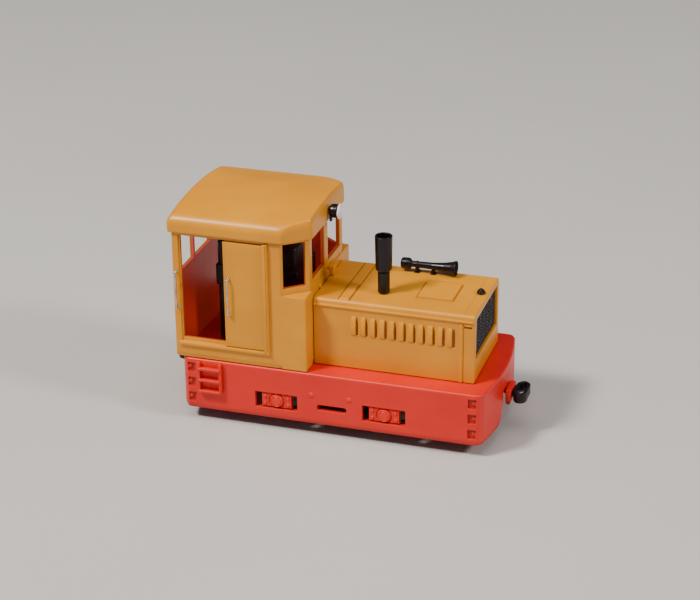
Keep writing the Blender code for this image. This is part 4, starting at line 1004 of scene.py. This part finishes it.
def makeAxleboxes():
    # A plate raised by a function of the distance to its middle: round cover, ring, gutter, four bolts.
    s = axleboxSettings
    for end in ("rear", "front"):
        low, high = span(f"axlebox_{end}_right")
        centre = (low[0] + high[0]) / 2
        face = low[1] + s["coverProud"]
        x0, x1 = low[0], high[0]
        z0, z1 = (z + way * s["clearance"] for z, way in zip(frameSettings["axleboxZ"], (1, -1)))
        x = np.linspace(x0, x1, 96)[:, None]
        z = np.linspace(z0, z1, 48)[None, :]
        middle = (z0 + z1) / 2
        near = np.minimum(np.minimum(x - x0, x1 - x), np.minimum(z - z0, z1 - z))
        distance = np.hypot(x - centre, z - middle)
        relief = -s["edge"] * (1 - np.sqrt(1 - np.clip(1 - near / s["edge"], 0, 1) ** 2))
        relief = relief + s["coverProud"] * (1 - rise(distance, s["coverRadius"] - 0.15, 0.16))
        relief = relief - s["ringDepth"] * band(distance, *s["ring"], 0.08)
        gutter = band(distance, s["coverRadius"] + 0.05, s["coverRadius"] + 0.3, 0.1)
        relief = relief - s["gutterDepth"] * gutter
        for dx in (-s["boltX"], s["boltX"]):
            for dz in (-s["boltZ"], s["boltZ"]):
                head = dome(x, z, (centre + dx, middle + dz), s["boltRadius"]) ** 0.6
                relief = relief + s["boltProud"] * head
        relief = relief + s["ribProud"] * band(np.abs(x - centre), *s["rib"], 0.08)
        outer = np.stack([x + 0 * z, face - relief, z + 0 * x], -1)
        inner = np.stack([x + 0 * z, face + s["plateDepth"] + 0 * (x + z), z + 0 * x], -1)
        back = block((x0 + 0.2, face + 1.2, low[2]), (x1 - 0.2, high[1], high[2]), 0.2)
        parts = [wall(outer, inner, None, False, relief), back]
        for side, flip in sides.items():
            piece(f"axlebox{end.title()}{side.title()}", [mirrored(p) for p in parts] if flip else parts,
                  f"axlebox_{end}_{side}", "red_plastic")


ladderSettings = {"stile": 0.9, "stileDepth": 1.0, "treadZ": (17.3, 13.7, 10.2), "treadHeight": 0.8}


def makeLadders():
    # Two upright stiles and three treads that stand further out, all softened blocks.
    s = ladderSettings
    low, high = span("ladder_right")
    near = high[1] - s["stileDepth"]
    parts = [block((x, near, low[2]), (x + s["stile"], high[1], high[2]), 0.2)
             for x in (low[0], high[0] - s["stile"])]
    parts += [block((low[0] + 0.3, low[1], z - s["treadHeight"] / 2),
                    (high[0] - 0.3, high[1] - 0.1, z + s["treadHeight"] / 2), 0.18) for z in s["treadZ"]]
    for side, flip in sides.items():
        piece(f"ladder{side.title()}", [mirrored(p) for p in parts] if flip else parts,
              f"ladder_{side}", "red_plastic")


makeAxleboxes()
makeLadders()
print("axleboxes and ladders made")


def boxOf(node):  # where a turned fitting stands: its low and high corner and the middle of its box
    return (*span(node), centreOf(node))


def makePipe():
    low, high, middle = boxOf("exhaust_pipe")
    foot, top, radius = low[2], high[2], (high[0] - low[0]) / 2
    pipe = softened([(foot, 0), (foot, radius - 0.12), (foot + 0.2, radius - 0.02), (top, radius),
                     (top, 0)], 0.12)
    piece("exhaustPipe", [turned(pipe, (*middle[:2], 0))], "exhaust_pipe", "gloss_black")


def makeSilencer():
    low, high, middle = boxOf("silencer")
    foot, top, radius = low[2], high[2], (high[0] - low[0]) / 2
    bore, boreDepth = radius - 0.7, 4.7
    barrel = softened([(foot, 0), (foot, radius - 0.65), (foot + 0.6, radius - 0.17),
                       (top - 1.1, radius - 0.02), (top - 0.12, radius), (top, radius - 0.12),
                       (top, radius - 0.4), (top - 0.2, bore + 0.18), (top - boreDepth, bore),
                       (top - boreDepth - 0.15, 0)], 0.12)
    piece("silencerBarrel", [turned(barrel, (*middle[:2], 0), "Z", 56)], "silencer", "gloss_black")


hornSettings = {
    # Distance from the back and radius, along the drum, the neck and the bell.
    "outside": ((0, 0), (0, 1.2), (0.25, 1.55), (0.8, 1.7), (1.0, 1.6), (1.15, 1.7), (2.4, 1.7),
                (2.75, 1.5), (3.1, 1.0), (3.4, 0.92), (4.4, 0.92), (4.5, 1.12), (4.9, 1.12),
                (5.0, 0.95), (9.4, 1.05), (12.7, 1.4), (15.0, 1.9)),
    "feet": (4.8, 9.6),
}


def makeHorn():
    low, high, middle = boxOf("air_horn")
    start, tip, mouth = low[0], high[0], (high[1] - low[1]) / 2
    y, z = middle[1], high[2] - mouth
    inside = [(tip - 0.35, mouth - 0.08), (tip - 0.1, mouth), (tip, mouth - 0.1), (tip - 0.05, mouth - 0.3),
              (tip - 1.9, 1.45), (tip - 3.4, 0.95), (tip - 3.5, 0)]
    bell = softened([(start + x, r) for x, r in hornSettings["outside"]] + inside, 0.2)
    feet = [start + x for x in hornSettings["feet"]]
    posts = [block((x - 0.55, y - 0.6, low[2]), (x + 0.55, y + 0.6, z - 0.3), 0.15) for x in feet]
    pads = [block((x - 0.75, y - 1.1, low[2]), (x + 0.75, y + 1.1, low[2] + 0.3), 0.12) for x in feet]
    piece("airHorn", [turned(bell, (0, y, z), "X", 48), *posts, *pads], "air_horn", "gloss_black")


def makeCap():
    low, high, middle = boxOf("radiator_cap")
    foot, top, (x, y) = low[2], high[2], middle[:2]
    profile = softened([(foot, 0), (foot, 1.25), (foot + 0.35, 1.25), (foot + 0.42, 0.95),
                        (foot + 0.85, 0.95), (foot + 0.95, 0.8), (top, 0.35), (top, 0)], 0.12)
    grip = block((x - 1.02, y - 0.16, foot + 0.45), (x + 1.02, y + 0.16, foot + 0.85), 0.08)
    piece("radiatorCap", [turned(profile, (x, y, 0), "Z", 40), grip], "radiator_cap", "gloss_black")


def makeHeadlight():
    low, high, middle = boxOf("headlight_housing")
    back, front, radius = low[0], high[0], (high[1] - low[1]) / 2
    y, z = middle[1], high[2] - radius
    drum = softened([(back, 0), (back, 1.4), (back + 0.5, 1.85), (back + 0.7, 1.95), (front - 0.8, radius),
                     (front - 0.7, radius - 0.12), (front - 0.55, radius - 0.12), (front - 0.45, radius),
                     (front, radius), (front, 0)], 0.1)
    bracket = block((back, y - 0.5, low[2]), (back + 0.7, y + 0.5, z - 1.0), 0.12)
    piece("headlightDrum", [turned(drum, (0, y, z), "X", 48), bracket], "headlight_housing", "gloss_black")

    # The lens is an ellipse with a ripple: depth times the square root of one less the radius squared.
    low, high = span("headlight_lens")
    back, radius = low[0], (high[1] - low[1]) / 2
    rim, swell = back + 0.3, high[0] - low[0] - 0.3
    r = np.linspace(radius - 0.2, 0, 30)
    crown = rim + swell * np.sqrt(1 - (r / (radius - 0.2)) ** 2) + 0.03 * np.cos(r * 14)
    lens = [(back, 0), (back, radius - 0.05), (back + 0.05, radius), (rim, radius),
            (rim + 0.08, radius - 0.06), (rim + 0.08, radius - 0.18), *zip(crown, r)]
    piece("headlightLens", [turned(lens, (0, y, z), "X", 56)], "headlight_lens", "lens_white")


makePipe()
makeSilencer()
makeHorn()
makeCap()
makeHeadlight()
print("fittings made")


coverSettings = {"skirt": 0.4, "bandZ": (38.0, 44.5), "ribs": 5, "ribInset": 4.0, "ribHalf": 0.4,
                 "ribDrop": (6.5, 1.2), "ribReach": 0.15}


def makeCover():
    # A softened box with a wider belt round it and upright ribs near its top.
    s = coverSettings
    low, high = span("interior_cover")
    inset, beltZ, drop = s["skirt"], s["bandZ"], s["ribDrop"]
    body = block((low[0] + inset, low[1] + inset, low[2]),
                 (high[0] - inset, high[1] - inset, high[2]), 1.0, 6)
    parts = [body, block((low[0], low[1], beltZ[0]), (high[0], high[1], beltZ[1]), 0.4, 4)]
    for x in np.linspace(low[0] + s["ribInset"], high[0] - s["ribInset"], s["ribs"]):
        parts.append(block((x - s["ribHalf"], low[1] + s["ribReach"], high[2] - drop[0]),
                           (x + s["ribHalf"], high[1] - s["ribReach"], high[2] - drop[1]), 0.2))
    piece("interiorCover", parts, "interior_cover", "black_plastic")


makeCover()
print("interior made")


couplerSettings = {"bowDepth": 3.9, "barHalf": 0.5, "shankHalf": 1.1, "shankThick": 0.4,
                   "eyeRadius": (1.1, 2.2), "eyeThick": 0.45, "mouthHalf": (2.5, 0.8)}


def makeCouplers():
    # A flat bar swept round a bow, a shank, and an eye: a small section carried round the pin.
    s = couplerSettings
    low, high = span("coupler_front")
    level, tall = (low[2] + high[2]) / 2, (high[2] - low[2]) / 2
    tip, side, back = high[0] - s["barHalf"], high[1] - s["barHalf"], high[0] - s["bowDepth"] + s["barHalf"]
    halfBow = [(back, -side + 1.2), (back + 1.0, -side), (tip - 0.9, -side), (tip, -side + 0.9)]
    otherHalf = [(x, -y) for x, y in halfBow[::-1]]
    bow = softened([(back, 0), *halfBow, *otherHalf, (back, 0)], 0.9, 5)[:-1]
    bow = np.column_stack([bow, np.full(len(bow), level)])
    wide = s["barHalf"]
    bar = softened([(-wide, 0), (-wide, -tall), (wide, -tall), (wide, tall), (-wide, tall),
                    (-wide, 0)], 0.25, 4)[:-1]
    inner, outer = s["eyeRadius"]
    pinX, thick, middle = low[0] + outer, s["eyeThick"], (inner + outer) / 2
    shank = block((pinX + 1.5, -s["shankHalf"], level - s["shankThick"]),
                  (back + 0.3, s["shankHalf"], level + s["shankThick"]), 0.15)
    ring = softened([(-thick, middle), (-thick, outer), (thick, outer), (thick, inner), (-thick, inner),
                     (-thick, middle)], 0.12, 3)[:-1]
    circle = roundSection(1.0, 40)
    turns = len(circle)
    eyePoints = np.stack([np.column_stack([pinX + circle[:, 0] * r, circle[:, 1] * r,
                                           np.full(turns, level + t)]) for t, r in ring], 1).reshape(-1, 3)
    eyeCells = gridFaces(turns, len(ring), True).reshape(-1, 4)
    eyeFaces = outwards(eyePoints, np.concatenate([eyeCells, ringSeam(turns, len(ring))]))
    eye = (eyePoints, eyeFaces, np.zeros(len(eyePoints)))
    parts = [swept(bow, bar, (0, 0, 1), True), shank, eye]

    # The pocket's rim: blocks above and below the mouth, and one on each side of it.
    (x0, y0, z0), (x1, y1, z1) = span("coupler_pocket_front")
    mouthY, mouthZ = s["mouthHalf"]
    rim = [block((x0, y0, bottom), (x1, y1, top), 0.2)
           for bottom, top in ((z0, level - mouthZ), (level + mouthZ, z1))]
    rim += [block((x0, right, level - mouthZ - 0.3), (x1, left, level + mouthZ + 0.3), 0.15)
            for right, left in ((y0, -mouthY), (mouthY, y1))]
    for end in ("front", "rear"):
        if end == "rear":
            parts, rim = [turnedRound(p) for p in parts], [turnedRound(p) for p in rim]
        piece(f"coupler{end.title()}", parts, f"coupler_{end}", "black_plastic", f"{end}_coupler")
        piece(f"couplerPocket{end.title()}", rim, f"coupler_pocket_{end}", "red_plastic")


makeCouplers()
print("couplers made")


wheelSettings = {"flangeDepth": 1.0, "flangeWidth": 0.8, "rimWidth": 1.1, "webDepth": (0.5, 0.8),
                 "hubRadius": 2.3, "hubDepth": (0.3, 0.2), "bore": 1.3}


def makeWheels():
    # A profile of (across the wheel, radius) turned round the axle: back, flange, tread, face, hub.
    s = wheelSettings
    for end in ("rear", "front"):
        low, high = span(f"wheel_{end}_left")
        centre = ((low[0] + high[0]) / 2, 0, (low[2] + high[2]) / 2)
        flange = (high[0] - low[0]) / 2
        tread, hub, bore = flange - s["flangeDepth"], s["hubRadius"], s["bore"]
        back, face, rim = low[1], high[1], tread - s["rimWidth"]
        backWeb, faceWeb = back + s["webDepth"][0], face - s["webDepth"][1]
        backHub, faceHub = back + s["hubDepth"][0], face - s["hubDepth"][1]
        flangeFront = back + s["flangeWidth"]
        profile = softened([(backHub, 0.0), (backHub, hub), (backWeb, hub + 0.3), (backWeb, rim),
                            (back, rim + 0.3), (back, flange - 0.35), (back + 0.3, flange),
                            (flangeFront, tread + 0.2), (flangeFront + 0.2, tread + 0.02),
                            (face - 0.15, tread - 0.05), (face, tread - 0.25), (face, rim + 0.2),
                            (faceWeb, rim), (faceWeb, hub + 0.4), (faceHub, hub), (faceHub, bore + 0.2),
                            (faceHub - 0.15, bore), (faceHub - 0.15, 0.0)], 0.18, 3)
        wheel = turned(profile, centre, "Y", 64)
        for side, flip in (("left", False), ("right", True)):
            piece(f"wheel{end.title()}{side.title()}", [mirrored(wheel) if flip else wheel],
                  f"wheel_{end}_{side}", "wheel_steel", f"{end}_wheelset")


makeWheels()
print("wheels made")

for row in frame["record"]["subparts"]:  # the nodes that stay get their slot's finish
    node = frame["nodes"].get(row["node"])
    if node is not None and not node.hide_render:
        node.data.materials.clear()
        node.data.materials.append(finishes[row["material_slot"]])


studio = {
    "floorSize": 6.0, "floorDrop": 0.0001,
    "floorColour": (0.52, 0.51, 0.50), "floorPaler": (0.86, 0.85, 0.83),
    "sky": (0.80, 0.86, 1.0), "skyStrength": 0.15, "aim": (0, 0, 0.03),
    # Where each light stands in metres, how wide it is, its power in watts and its colour.
    "lamps": {
        "keyLeft": ((-0.60, -0.60, 1.12), 0.24, 21.0, (1.0, 0.93, 0.84)),
        "keyRight": ((1.00, -0.18, 0.76), 0.22, 8.0, (1.0, 0.93, 0.86)),
        "softTop": ((0.05, -0.35, 1.45), 0.9, 7.0, (1.0, 0.97, 0.92)),
        "fillFront": ((0.25, -1.35, 0.55), 1.0, 0.8, (1.0, 0.98, 0.96)),
    },
}


def makeStudio():
    mesh = bpy.data.meshes.new("studioFloor")
    reach = studio["floorSize"] / 2
    corners = [(-reach, -reach, 0), (reach, -reach, 0), (reach, reach, 0), (-reach, reach, 0)]
    mesh.from_pydata(corners, [], [(0, 1, 2, 3)])
    floor = bpy.data.objects.new("studioFloor", mesh)
    bpy.context.scene.collection.objects.link(floor)
    floor.location.z = -studio["floorDrop"]
    finish = Finish("paleFloor", Roughness=0.75)
    drift = finish.noise(8.0) * 0.2
    finish.give(Base_Color=finish.mix(drift, studio["floorColour"], studio["floorPaler"]))
    mesh.materials.append(finish.material)
    world = bpy.data.worlds.new("studioSky")
    world.use_nodes = True
    world.node_tree.nodes["Background"].inputs["Color"].default_value = (*studio["sky"], 1)
    world.node_tree.nodes["Background"].inputs["Strength"].default_value = studio["skyStrength"]
    bpy.context.scene.world = world
    for name, (place, size, watts, colour) in studio["lamps"].items():
        light = bpy.data.lights.new(name, "AREA")
        light.size, light.energy, light.color = size, watts, colour
        holder = bpy.data.objects.new(name, light)
        holder.location = place
        away = Vector(place) - Vector(studio["aim"])
        holder.rotation_euler = away.to_track_quat("Z", "Y").to_euler()
        bpy.context.scene.collection.objects.link(holder)


cameraSettings = {"place": (158.8, -502.5, 276.3), "azimuth": 17.92, "elevation": 24.44, "roll": -0.70,
                  "lens": 103.7, "sensor": 36.0, "shift": (0.0170, -0.0115)}


def makeCamera():
    s = cameraSettings
    azimuth, elevation, roll = (math.radians(s[key]) for key in ("azimuth", "elevation", "roll"))
    level = math.cos(elevation)
    back = Vector((math.sin(azimuth) * level, -math.cos(azimuth) * level, math.sin(elevation)))
    right = Vector((math.cos(azimuth), math.sin(azimuth), 0))
    up = back.cross(right)
    right, up = right * math.cos(roll) + up * math.sin(roll), up * math.cos(roll) - right * math.sin(roll)
    data = bpy.data.cameras.new("camera")
    data.lens, data.sensor_width = s["lens"], s["sensor"]
    data.shift_x, data.shift_y = s["shift"]
    data.clip_start, data.clip_end = 0.01, 20.0
    camera = bpy.data.objects.new("camera", data)
    turn = Matrix((right, up, back)).transposed().to_4x4()
    camera.matrix_world = Matrix.Translation(Vector(s["place"]) * mm) @ turn
    bpy.context.scene.collection.objects.link(camera)
    bpy.context.scene.camera = camera


makeStudio()
makeCamera()
print("studio made")
